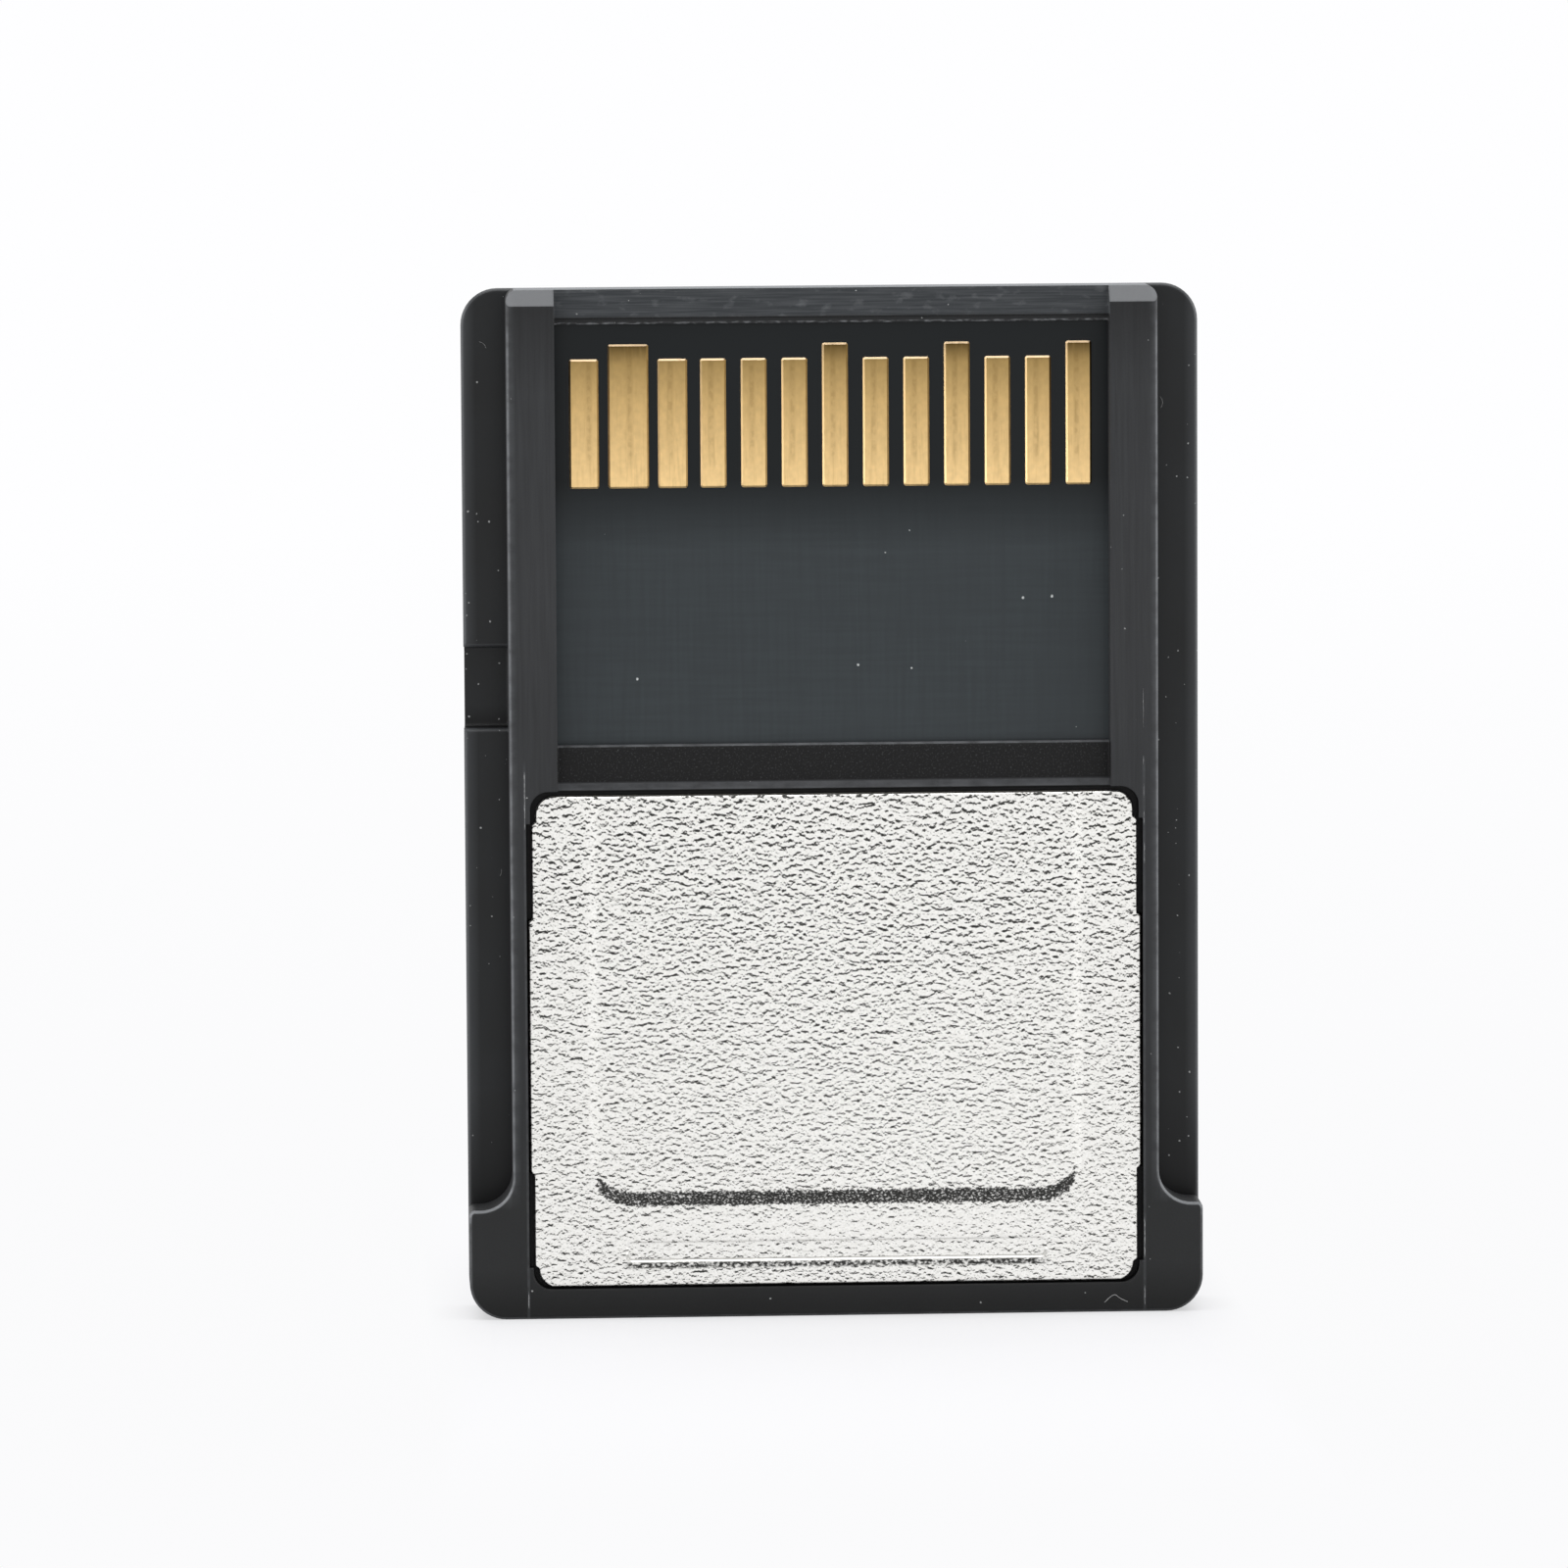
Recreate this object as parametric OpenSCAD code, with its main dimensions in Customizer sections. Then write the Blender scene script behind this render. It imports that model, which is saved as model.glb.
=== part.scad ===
// Flat memory card for a camera, standing on its grip end with the contacts at the top.
// Every piece is drawn lying down and then stood up by stand():
// x runs across the card, y runs up it, and z comes out of the contact face.
// The thickness is centred on z = 0.

/* [Card body] */
// Height of the card from its grip end to its contact end
card_h = 28; // [27.4:0.1:36]
// Thickness from the contact face to the label face
card_t = 2.8; // [2.7:0.05:3.6]
// Thickness of the contact-side shell above the parting plane
rail_t = 1.4; // [1.3:0.05:1.6]
// Width of each rail beside the contact window
rail_w = 1.3; // [1.1:0.05:1.8]
// Width of each side flange
flange_w = 1.2; // [1:0.05:2]
// Height of the full-width grip
grip_h = 3; // [1.6:0.1:3.8]
// Fillet between each rail and the grip
grip_fillet_r = 0.9; // [0.2:0.05:1]
// Corner radius of the card's outline
corner_r = 1; // [0.4:0.1:1.2]
// Corner radius of the rails at the contact end
rail_corner_r = 0.3; // [0.1:0.05:0.5]
// Corner radius of the grip where it steps down to the flanges
step_corner_r = 0.16; // [0.12:0.02:0.4]
// Rounding of the edges of the contact face and of the flanges
edge_r = 0.12; // [0.04:0.02:0.12]
// Rounding of the edges of the label face
label_edge_r = 0.26; // [0.1:0.02:0.5]
// Chamfer where the rails enter the slot
rail_chamfer = 0.42; // [0.1:0.02:0.6]
// Inward lean of each side wall towards the label face
side_draft = 0.07; // [0:0.01:0.15]

/* [Lock notch] */
// Height of the notch's lower edge above the grip end
notch_y = 16.04; // [8:0.1:20]
// Height of the notch
notch_h = 2.22; // [1:0.1:4]
// Depth of the notch below the side flange
notch_d = 0.5; // [0.2:0.05:0.8]
// Rounding of the notch's floor
notch_r = 0.15; // [0.05:0.01:0.2]

/* [Shell walls] */
// Wall between the board's space and the outside of a rail
side_wall = 0.55; // [0.5:0.05:0.8]
// Wall at the grip end
grip_wall = 0.84; // [0.7:0.05:1.2]
// Wall at the contact end
front_wall = 0.46; // [0.4:0.02:0.7]
// Floor behind the label face
label_wall = 0.3; // [0.25:0.05:0.5]
// Depth of the shallow field for a label
label_field_d = 0.08; // [0.04:0.01:0.12]
// Margin round the field for a label
label_margin = 1.2; // [0.8:0.1:3]
// Width of the ledge that carries the board
ledge_w = 0.6; // [0.3:0.05:0.9]
// Width of the welding tongues
tongue_w = 0.18; // [0.1:0.01:0.22]
// Depth of the welding tongues
tongue_d = 0.25; // [0.1:0.05:0.4]
// Gap round a welding tongue
tongue_gap = 0.03; // [0.01:0.01:0.06]
// Distance from the ends of the side tongues to the grip and to the contact end
tongue_margin = 1.5; // [1:0.1:3]

/* [Contact window] */
// Gap between the outer contacts and the rails
window_margin = 0.4; // [0.2:0.05:0.7]
// Height of the bar at the contact end
bar_h = 0.8; // [0.6:0.05:1]
// Depth of the bar below the rails
bar_drop = 0.45; // [0.2:0.05:0.5]
// Height of the lip under the bar
lip_h = 0.15; // [0.05:0.01:0.3]
// Depth of the lip below the bar
lip_drop = 0.1; // [0.02:0.01:0.14]
// Rounding of the bar's lower edge and of the crossbar's upper edge
bar_edge_r = 0.1; // [0.04:0.01:0.12]
// Height of the crossbar between the window and the plate
crossbar_h = 1.22; // [0.8:0.02:1.8]
// Depth of the crossbar below the rails
crossbar_drop = 0.45; // [0.2:0.05:0.5]
// Width of the bevel along the crossbar's lower edge
bevel_w = 0.18; // [0.08:0.01:0.3]
// Rise of that bevel
bevel_rise = 0.3; // [0.1:0.02:0.34]

/* [Rear plate] */
// Width of the shell's border beside the plate's pocket
border_w = 0.43; // [0.35:0.01:0.7]
// Height of the plate
plate_h = 13.42; // [12:0.1:14]
// Thickness of the sheet
plate_t = 0.2; // [0.12:0.02:0.24]
// Distance from the grip end to the plate's pocket
pocket_y = 0.82; // [0.6:0.02:1]
// Gap beside and below the plate
plate_gap = 0.05; // [0.03:0.01:0.08]
// Gap above the plate
plate_top_gap = 0.14; // [0.05:0.01:0.2]
// Corner radius of the plate
plate_corner_r = 0.5; // [0.2:0.05:0.7]
// How much narrower the plate is on each side away from its tabs
plate_step = 0.1; // [0.05:0.01:0.14]
// How much narrower again it is at its corners
plate_corner_step = 0.11; // [0.04:0.01:0.14]
// Height of the narrow corners at the top
plate_top_corner_h = 0.78; // [0.6:0.02:1.4]
// Height of the narrow corners at the bottom
plate_low_corner_h = 0.6; // [0.56:0.02:1.2]
// Height of the side tabs above the plate's lower edge
tab_y = 3.17; // [2:0.1:4]
// Length of the side tabs
tab_h = 6.82; // [4:0.1:8]
// How far the side tabs reach down past the face of the plate's border
tab_d = 0.48; // [0.3:0.02:0.52]
// Distance from the plate's side to the raised field
emboss_margin = 1.56; // [1.2:0.02:2.4]
// Height of the raised field's lower edge above the plate's
emboss_y = 2.2; // [1.6:0.1:4]
// Corner radius of the raised field, outside its slope
emboss_r = 1.2; // [0.9:0.05:2]
// Width of the slope round the raised field
emboss_slope = 0.36; // [0.2:0.02:0.6]
// Height of the raised field above the plate's border
emboss_rise = 0.1; // [0.04:0.01:0.12]
// Distance from the plate's side to the sunk strip below the raised field
strip_margin = 2.57; // [1.5:0.01:4]
// Height of the sunk strip
strip_h = 0.6; // [0.3:0.05:0.8]
// Height of the sunk strip's lower edge above the plate's
strip_y = 0.64; // [0.5:0.02:0.7]
// Corner radius of the sunk strip
strip_r = 0.2; // [0.05:0.01:0.3]
// Depth of the sunk strip
strip_d = 0.05; // [0.02:0.01:0.08]
// Distance from the plate's side to the adhesive film under it
film_margin = 0.5; // [0.4:0.05:1]
// Thickness of the adhesive film
film_t = 0.05; // [0.03:0.01:0.06]
// Width of the ledge that carries the plate
plate_ledge_w = 0.8; // [0.5:0.05:1.2]

/* [Circuit board] */
// Depth of the board's contact side below the rails
board_drop = 0.65; // [0.6:0.01:0.7]
// Thickness of the board
board_t = 0.5; // [0.4:0.05:0.6]
// Gap between the board's edge and the shells
board_gap = 0.05; // [0.02:0.01:0.1]
// Corner radius of the board
board_corner_r = 0.4; // [0.1:0.05:0.8]
// Radius of the half-round keys that locate the board
key_r = 0.4; // [0.25:0.05:0.5]
// Height of the lower pair of keys
key_low_y = 5.2; // [3:0.1:10]
// Height of the upper pair of keys
key_high_y = 20.8; // [14:0.1:24]

/* [Contacts] */
// Spacing of the narrow contacts
contact_pitch = 1.1; // [1:0.01:1.12]
// Spacing of the wide contacts
wide_pitch = 1.2; // [1.1:0.01:1.25]
// Width of the narrow contacts
contact_w = 0.7; // [0.4:0.05:0.8]
// Width of the two contacts beside the widest
side_contact_w = 0.8; // [0.4:0.05:0.9]
// Width of the widest contact
wide_contact_w = 1.1; // [0.8:0.05:1.3]
// Length of the long contacts
long_contact_h = 3.9; // [3.6:0.1:4.6]
// Length of the short contacts
short_contact_h = 3.5; // [2.5:0.1:3.6]
// Distance from the contact end to the long contacts
contact_margin = 1.5; // [1.2:0.05:2.5]
// Height of a contact above the board
contact_t = 0.05; // [0.03:0.01:0.08]
// Width of the bevel round a contact
contact_bevel = 0.05; // [0.02:0.01:0.06]
// Corner radius of a contact
contact_r = 0.07; // [0.06:0.01:0.15]

/* [Board components] */
// Height of the flash memory package
flash_h = 11.8; // [10:0.1:12]
// Thickness of the flash memory package
flash_t = 1; // [0.8:0.05:1.1]
// Side of the controller package
controller_w = 9; // [7:0.1:9.6]
// Thickness of the controller package
controller_t = 0.9; // [0.7:0.05:1.1]
// Space between neighbouring components
part_gap = 0.5; // [0.3:0.05:0.7]
// Side of the power management chip
power_chip_w = 2.6; // [2:0.1:2.8]
// Thickness of the power management chip
power_chip_t = 0.8; // [0.5:0.05:1]
// Length of a power inductor
inductor_l = 2.5; // [1.6:0.1:2.6]
// Width of a power inductor
inductor_w = 2; // [1.2:0.1:2.2]
// Thickness of a power inductor
inductor_t = 1; // [0.6:0.05:1.1]
// Length of the crystal oscillator
oscillator_l = 2; // [1.6:0.1:2.5]
// Width of the crystal oscillator
oscillator_w = 1.6; // [1.2:0.1:2]
// Thickness of the crystal oscillator
oscillator_t = 0.45; // [0.35:0.05:0.8]
// Length of a bulk capacitor
bulk_l = 1.6; // [1:0.1:1.8]
// Width of a bulk capacitor
bulk_w = 0.8; // [0.5:0.05:0.9]
// Thickness of a bulk capacitor
bulk_t = 0.8; // [0.4:0.05:1]
// Length of a small capacitor or resistor
chip_l = 0.6; // [0.4:0.05:0.7]
// Width of a small capacitor or resistor
chip_w = 0.3; // [0.2:0.02:0.4]
// Thickness of a small capacitor
capacitor_t = 0.24; // [0.15:0.01:0.24]
// Thickness of a small resistor
resistor_t = 0.2; // [0.12:0.01:0.24]
// Small capacitors on the plate's side of the board
capacitor_count = 10; // [4:1:11]
// Small resistors on the plate's side of the board
resistor_count = 8; // [4:1:9]
// Spacing of the small capacitors and resistors
chip_pitch = 1.2; // [0.9:0.05:1.3]
// Distance from the side of the plate's opening to the thermal pad
pad_margin = 1.45; // [0.5:0.05:4]

/* [Hidden] */
$fn = 48;
over = 0.5;

// Rounding of the contact face's edges, which no corner there is too small for
face_edge_r = min(edge_r, rail_corner_r, step_corner_r);

// Levels, measured along the thickness
face = card_t / 2;
back = -face;
parting = face - rail_t;
bar_z = face - bar_drop;
lip_z = bar_z - lip_drop;
crossbar_z = face - crossbar_drop;
board_front = face - board_drop;
board_back = board_front - board_t;
floor_z = back + label_wall;
border_z = face - emboss_rise;
film_front = border_z - plate_t;
film_back = film_front - film_t;

// Contacts, numbered from the left as the contact face is seen
contact_count = 13;
wide_count = 3;
long_index = [1, 6, 9, 12];
contact_span = (wide_count - 1) * wide_pitch + (contact_count - wide_count) * contact_pitch;

// Widths, worked outwards from the contacts
window_w = contact_span + side_contact_w + 2 * window_margin;
rail_span = window_w + 2 * rail_w;
card_w = rail_span + 2 * flange_w;
plate_w = rail_span - 2 * (border_w + plate_gap);
emboss_w = plate_w - 2 * emboss_margin;
strip_w = plate_w - 2 * strip_margin;
film_w = plate_w - 2 * film_margin;

// Heights, measured up from the grip end
plate_y = pocket_y + plate_gap;
pocket_top = plate_y + plate_h + plate_top_gap;
window_y = pocket_top + crossbar_h;
bar_y = card_h - bar_h;
window_top = bar_y - lip_h;
contact_y = card_h - contact_margin - long_contact_h;

// The board's space and the board
room_w = rail_span - 2 * side_wall;
room_top = card_h - front_wall;
room_h = room_top - grip_wall;
board_w = room_w - 2 * board_gap;
board_y = grip_wall + board_gap;
board_h = room_h - 2 * board_gap;
mid_board_y = board_y + board_h / 2;

// Components on the label side of the board: the packages to the left, the small parts in a column
ledge_top = board_y + ledge_w;
column_x = board_w / 2 - ledge_w - part_gap - power_chip_w / 2;
flash_w = board_w - 2 * ledge_w - 3 * part_gap - power_chip_w;
flash_x = (flash_w - board_w) / 2 + ledge_w + part_gap;
flash_y = ledge_top + part_gap + flash_h / 2;
controller_x = flash_x;
controller_y = flash_y + flash_h / 2 + part_gap + controller_w / 2;
power_chip_y = flash_y;
inductor_y = power_chip_y + power_chip_w / 2 + part_gap + inductor_l / 2;
oscillator_y = controller_y;

// Components on the contact side of the board, inside the plate's opening
opening_w = room_w - 2 * plate_ledge_w;
opening_y = pocket_y + plate_ledge_w;
opening_h = pocket_top - plate_ledge_w - opening_y;
opening_mid = opening_y + opening_h / 2;
pad_w = opening_w - 2 * pad_margin;
pad_h = opening_h - 2 * (chip_l + 2 * part_gap);
chip_row_y = opening_mid - (opening_h - chip_l) / 2 + part_gap;
resistor_row_y = opening_mid + (opening_h - chip_l) / 2 - part_gap;

function contact_x(i) = -contact_span / 2
    + min(i, wide_count - 1) * wide_pitch
    + max(i - wide_count + 1, 0) * contact_pitch;
function contact_width(i) = i == 1 ? wide_contact_w : i < wide_count ? side_contact_w : contact_w;
function contact_length(i) = len(search(i, long_index)) > 0 ? long_contact_h : short_contact_h;
function contact_name(i) = str("contact_", i < 9 ? "0" : "", i + 1);

// Stands the card up, with its contact face towards -Y
module stand() rotate([90, 0, 0]) children();

// A slab between two levels, from an outline drawn in x and y
module slab(z0, z1) translate([0, 0, z0]) linear_extrude(z1 - z0) children();

// A bar along the card's height, from a section drawn in x and z
module along_height(y0, y1) translate([0, y1, 0]) rotate([90, 0, 0]) linear_extrude(y1 - y0) children();

// A bar across the card, from a section drawn in y and z
module across(x0, x1) translate([x0, 0, 0]) rotate([90, 0, 90]) linear_extrude(x1 - x0) children();

// A rectangle with two corner radii, centred in x and standing on y0
module plate_outline(w, y0, h, low_r, top_r) {
    translate([-w / 2, y0 + low_r]) square([w, h - low_r - top_r]);
    translate([-w / 2 + low_r, y0]) square([w - 2 * low_r, h / 2]);
    translate([-w / 2 + top_r, y0 + h / 2]) square([w - 2 * top_r, h / 2]);
    for (side = [-1, 1]) {
        translate([side * (w / 2 - low_r), y0 + low_r]) circle(low_r);
        translate([side * (w / 2 - top_r), y0 + h - top_r]) circle(top_r);
    }
}

// A block with rounded corners whose edges follow one profile all round, in the corners too.
// The profile is drawn in z against the distance outwards: it starts $reach inside
// and ends $corner outside its own zero.
module profiled_block(w, y0, h, low_r, top_r) {
    for (end = [0, 1]) {
        r = end == 0 ? low_r : top_r;
        y = end == 0 ? y0 : y0 + h;
        across(-w / 2 + r, w / 2 - r) translate([y, 0]) mirror([1 - end, 0])
            let($reach = h / 2, $corner = 0) children();
        for (side = [-1, 1]) translate([side * (w / 2 - r), y0 + end * h + (1 - 2 * end) * r])
            rotate_extrude() let($reach = 0, $corner = r) children();
    }
    for (side = [0, 1]) along_height(y0 + low_r, y0 + h - top_r) mirror([side, 0])
        translate([w / 2, 0]) let($reach = w / 2, $corner = 0) children();
}

// A quarter of a disc, for the rounding of a profile
module quarter_disc(r) intersection() {
    circle(r);
    square(r);
}

// What is cut away along an edge, up to the edge itself, to round it to a radius
module edge_cut(r) difference() {
    translate([-r, -r]) square(2 * r);
    translate([-r, -r]) circle(r);
}

// The profile of the contact-side shell, rounded at the contact face
module face_profile() difference() {
    translate([-$reach, parting]) square([$reach + $corner, rail_t]);
    translate([$corner, face]) edge_cut(face_edge_r);
}

// The profile of the label-side shell: rounded at the flange, leaning in to a rounded label face
module label_profile() {
    low = $corner - side_draft;
    polygon([
        [-$reach, back], [low - label_edge_r, back], [low, back + label_edge_r],
        [$corner, parting - edge_r], [$corner - edge_r, parting], [-$reach, parting]
    ]);
    translate([$corner - edge_r, parting - edge_r]) quarter_disc(edge_r);
    translate([low - label_edge_r, back + label_edge_r]) mirror([0, 1]) quarter_disc(label_edge_r);
}

// The fillet between a rail and the grip, with its upper edge rounded like theirs
module grip_fillet() difference() {
    r = face_edge_r;
    slab(parting, face) translate([-r, -r]) square(grip_fillet_r + r);
    translate([grip_fillet_r, grip_fillet_r, 0]) rotate_extrude() difference() {
        translate([0, parting - over]) square([grip_fillet_r + r, rail_t + 2 * over]);
        translate([grip_fillet_r, parting - over]) square([2 * r, rail_t + over - r]);
        translate([grip_fillet_r + r, face - r]) circle(r);
    }
}

// The rails, the grip and the fillets between them, before anything is cut
module rails_and_grip() difference() {
    union() {
        profiled_block(rail_span, 0, card_h, step_corner_r, rail_corner_r) face_profile();
        profiled_block(card_w, 0, grip_h, corner_r, step_corner_r) face_profile();
        for (side = [0, 1]) mirror([side, 0, 0]) translate([rail_span / 2, grip_h, 0]) grip_fillet();
    }
    across(-rail_span, rail_span) polygon([
        [card_h - rail_chamfer, face], [card_h, face - rail_chamfer],
        [card_h + over, face - rail_chamfer], [card_h + over, face + over],
        [card_h - rail_chamfer, face + over]
    ]);
}

// The plate's outline, narrower away from its tabs and again at its corners
module rear_plate_outline() {
    mid_w = plate_w - 2 * plate_step;
    plate_outline(mid_w - 2 * plate_corner_step, plate_y, plate_h, plate_corner_r, plate_corner_r);
    translate([-mid_w / 2, plate_y + plate_low_corner_h])
        square([mid_w, plate_h - plate_low_corner_h - plate_top_corner_h]);
    translate([-plate_w / 2, plate_y + tab_y]) square([plate_w, tab_h]);
}

// The plate's pocket, as wide as the tabs and narrower at its corners
module pocket_outline() {
    wide_w = plate_w + 2 * plate_gap;
    plate_outline(wide_w - 2 * plate_corner_step, pocket_y, pocket_top - pocket_y,
        plate_corner_r, plate_corner_r);
    translate([-wide_w / 2, plate_y + plate_low_corner_h - plate_gap])
        square([wide_w, plate_h - plate_low_corner_h - plate_top_corner_h + 2 * plate_gap]);
}

// The side tabs' outlines, or their slots' with a gap round them
module tab_outlines(gap) for (side = [-1, 1])
    translate([side * (plate_w / 2 - plate_t / 2), plate_y + tab_y + tab_h / 2])
        square([plate_t + 2 * gap, tab_h + 2 * gap], center = true);

// The space for the board, which both shells share
module room_outline() plate_outline(room_w, grip_wall, room_h, board_corner_r, board_corner_r);

// The welding tongues' outlines, or their grooves' with a gap round them
module tongue_outlines(gap) {
    tongue_h = card_h - grip_h - 2 * tongue_margin;
    for (side = [-1, 1])
        translate([side * (rail_span - side_wall) / 2, grip_h + tongue_margin + tongue_h / 2])
            square([tongue_w + 2 * gap, tongue_h + 2 * gap], center = true);
    translate([0, grip_wall / 2])
        square([rail_span - 4 * side_wall + 2 * gap, tongue_w + 2 * gap], center = true);
}

// The half-round keys' outlines, or the board's notches with a gap round them
module key_outlines(gap) for (side = [-1, 1], y = [key_low_y, key_high_y])
    translate([side * room_w / 2, y]) circle(key_r + gap);

// What is cut away between the rails, seen from the side, from the crossbar's bevel to the bar
module window_section() {
    polygon([
        [pocket_top, face + over], [pocket_top, crossbar_z + bevel_rise], [pocket_top + bevel_w, crossbar_z],
        [window_y, crossbar_z], [window_y, board_front - over], [window_top, board_front - over],
        [window_top, lip_z], [bar_y, lip_z], [bar_y, bar_z], [card_h + over, bar_z],
        [card_h + over, face + over]
    ]);
    translate([window_y, crossbar_z]) edge_cut(bar_edge_r);
    translate([bar_y, bar_z]) mirror([1, 0]) edge_cut(min(bar_edge_r, lip_drop));
}

module contact_side_shell() color("#434345") stand() {
    difference() {
        rails_and_grip();
        slab(parting - over, board_front) difference() {
            room_outline();
            key_outlines(0);
        }
        slab(parting - over, board_back) room_outline();
        across(-window_w / 2, window_w / 2) window_section();
        // The plate's pocket, the opening behind it and the slots for its tabs
        slab(film_back, face + over) pocket_outline();
        slab(board_front - over, film_back + over)
            translate([-opening_w / 2, opening_y]) square([opening_w, opening_h]);
        slab(board_front - over, film_back + over) tab_outlines(plate_gap);
    }
    slab(parting - tongue_d, parting + over) tongue_outlines(0);
}

// The lock notch seen from the side, rounded at its floor and flared at its mouth
module notch_section() {
    r = notch_r;
    difference() {
        translate([notch_y - r, parting - notch_d]) square([notch_h + 2 * r, notch_d + over]);
        for (end = [0, 1]) translate([notch_y + end * notch_h, 0]) mirror([1 - end, 0]) {
            translate([0, parting - notch_d]) square([2 * r, notch_d - r]);
            translate([r, parting - r]) circle(r);
            translate([-r, parting - notch_d]) difference() {
                square(r);
                translate([0, r]) circle(r);
            }
        }
    }
}

module label_side_shell() color("#262628") stand() {
    difference() {
        profiled_block(card_w, 0, card_h, corner_r, corner_r) label_profile();
        slab(floor_z, parting + over) room_outline();
        slab(parting - tongue_d - tongue_gap, parting + over) tongue_outlines(tongue_gap);
        slab(back - over, back + label_field_d) plate_outline(
            card_w - 2 * label_margin, label_margin, card_h - 2 * label_margin, corner_r / 2, corner_r / 2);
        // The lock notch in one flange
        across(-card_w / 2 - over, -rail_span / 2) notch_section();
    }
    // The ledge that carries the board all round
    slab(floor_z - label_wall / 4, board_back) difference() {
        plate_outline(board_w, board_y, board_h, board_corner_r, board_corner_r);
        plate_outline(board_w - 2 * ledge_w, ledge_top, board_h - 2 * ledge_w, board_corner_r, board_corner_r);
    }
    slab(floor_z - label_wall / 4, parting - tongue_d) difference() {
        room_outline();
        plate_outline(board_w - 2 * ledge_w, ledge_top, board_h - 2 * ledge_w, board_corner_r, board_corner_r);
    }
}

// A field raised by a slope on all sides, from prisms and cones
module raised_field(w, y0, h, r, slope, rise) {
    across(-w / 2 + r, w / 2 - r)
        polygon([[y0, 0], [y0 + slope, rise], [y0 + h - slope, rise], [y0 + h, 0]]);
    along_height(y0 + r, y0 + h - r)
        polygon([[-w / 2, 0], [-w / 2 + slope, rise], [w / 2 - slope, rise], [w / 2, 0]]);
    for (side = [-1, 1], y = [y0 + r, y0 + h - r])
        translate([side * (w / 2 - r), y]) cylinder(h = rise, r1 = r, r2 = r - slope);
}

// The raised field as it leaves the top edge of the plate
module plate_field() raised_field(emboss_w, plate_y + emboss_y, plate_h + 2 * emboss_r, emboss_r,
    emboss_slope, emboss_rise);

module rear_plate() color("#d9d7d0") stand() {
    difference() {
        union() {
            slab(film_front, border_z) rear_plate_outline();
            intersection() {
                translate([0, 0, border_z]) plate_field();
                slab(film_front, face + over) rear_plate_outline();
            }
        }
        translate([0, 0, film_front]) intersection() {
            plate_field();
            translate([0, 0, -over]) slab(0, card_t) rear_plate_outline();
        }
        slab(border_z - strip_d, face + over)
            plate_outline(strip_w, plate_y + strip_y, strip_h, strip_r, strip_r);
    }
    slab(border_z - tab_d, film_front + plate_t / 2) tab_outlines(0);
}

module adhesive_film() color("#e8dcb0") stand() slab(film_back, film_front)
    plate_outline(film_w, plate_y, plate_h, plate_corner_r, plate_corner_r);

module circuit_board() color("#26302f") stand() slab(board_back, board_front) difference() {
    plate_outline(board_w, board_y, board_h, board_corner_r, board_corner_r);
    key_outlines(board_gap);
}

module contact(i) color("#d2a955") stand() translate([contact_x(i), 0, board_front])
    raised_field(contact_width(i), contact_y, contact_length(i), contact_r, contact_bevel, contact_t);

// A block soldered to the label side of the board
module on_label_side(x, y, w, h, t) slab(board_back - t, board_back)
    translate([x, y]) square([w, h], center = true);

// A block soldered to the contact side of the board
module on_contact_side(x, y, w, h, t) slab(board_front, board_front + t)
    translate([x, y]) square([w, h], center = true);

module flash_memory_chip() color("#1d1d1f") stand()
    on_label_side(flash_x, flash_y, flash_w, flash_h, flash_t);

module controller_chip() color("#202024") stand()
    on_label_side(controller_x, controller_y, controller_w, controller_w, controller_t);

module power_chip() color("#232327") stand()
    on_label_side(column_x, power_chip_y, power_chip_w, power_chip_w, power_chip_t);

module power_inductors() color("#55504c") stand() for (side = [-1, 1])
    on_label_side(column_x, power_chip_y + side * (inductor_y - power_chip_y),
        inductor_w, inductor_l, inductor_t);

module crystal_oscillator() color("#c9c9c4") stand()
    on_label_side(column_x, oscillator_y, oscillator_w, oscillator_l, oscillator_t);

module bulk_capacitors() color("#a68a64") stand() for (side = [-1, 1])
    on_label_side(column_x, oscillator_y + side * (oscillator_l / 2 + part_gap + bulk_l / 2),
        bulk_w, bulk_l, bulk_t);

module small_capacitors() color("#b4946a") stand() for (i = [0 : capacitor_count - 1])
    on_contact_side((i - (capacitor_count - 1) / 2) * chip_pitch, chip_row_y, chip_w, chip_l, capacitor_t);

module small_resistors() color("#1f1f22") stand() for (i = [0 : resistor_count - 1])
    on_contact_side((i - (resistor_count - 1) / 2) * chip_pitch, resistor_row_y, chip_w, chip_l, resistor_t);

module flash_thermal_pad() color("#8fa3b5") stand() slab(floor_z, board_back - flash_t)
    translate([flash_x, flash_y]) square([flash_w - part_gap, flash_h - part_gap], center = true);

module controller_thermal_pad() color("#8fa3b5") stand() slab(floor_z, board_back - controller_t)
    translate([controller_x, controller_y])
        square([controller_w - part_gap, controller_w - part_gap], center = true);

module plate_thermal_pad() color("#8fa3b5") stand() slab(board_front, film_back)
    translate([0, opening_mid]) square([pad_w, pad_h], center = true);

contact_side_shell();
label_side_shell();
rear_plate();
adhesive_film();
circuit_board();
flash_memory_chip();
controller_chip();
power_chip();
power_inductors();
crystal_oscillator();
bulk_capacitors();
small_capacitors();
small_resistors();
flash_thermal_pad();
controller_thermal_pad();
plate_thermal_pad();
for (i = [0 : contact_count - 1])
    contact(i);
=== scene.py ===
"""Looks of a flat memory card that stands on its grip end: shells, plate, contacts and studio."""

import logging
import math
import random
from dataclasses import dataclass
from enum import Enum
from typing import Any

import bmesh
import bpy
from mathutils import Matrix, Vector


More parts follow.
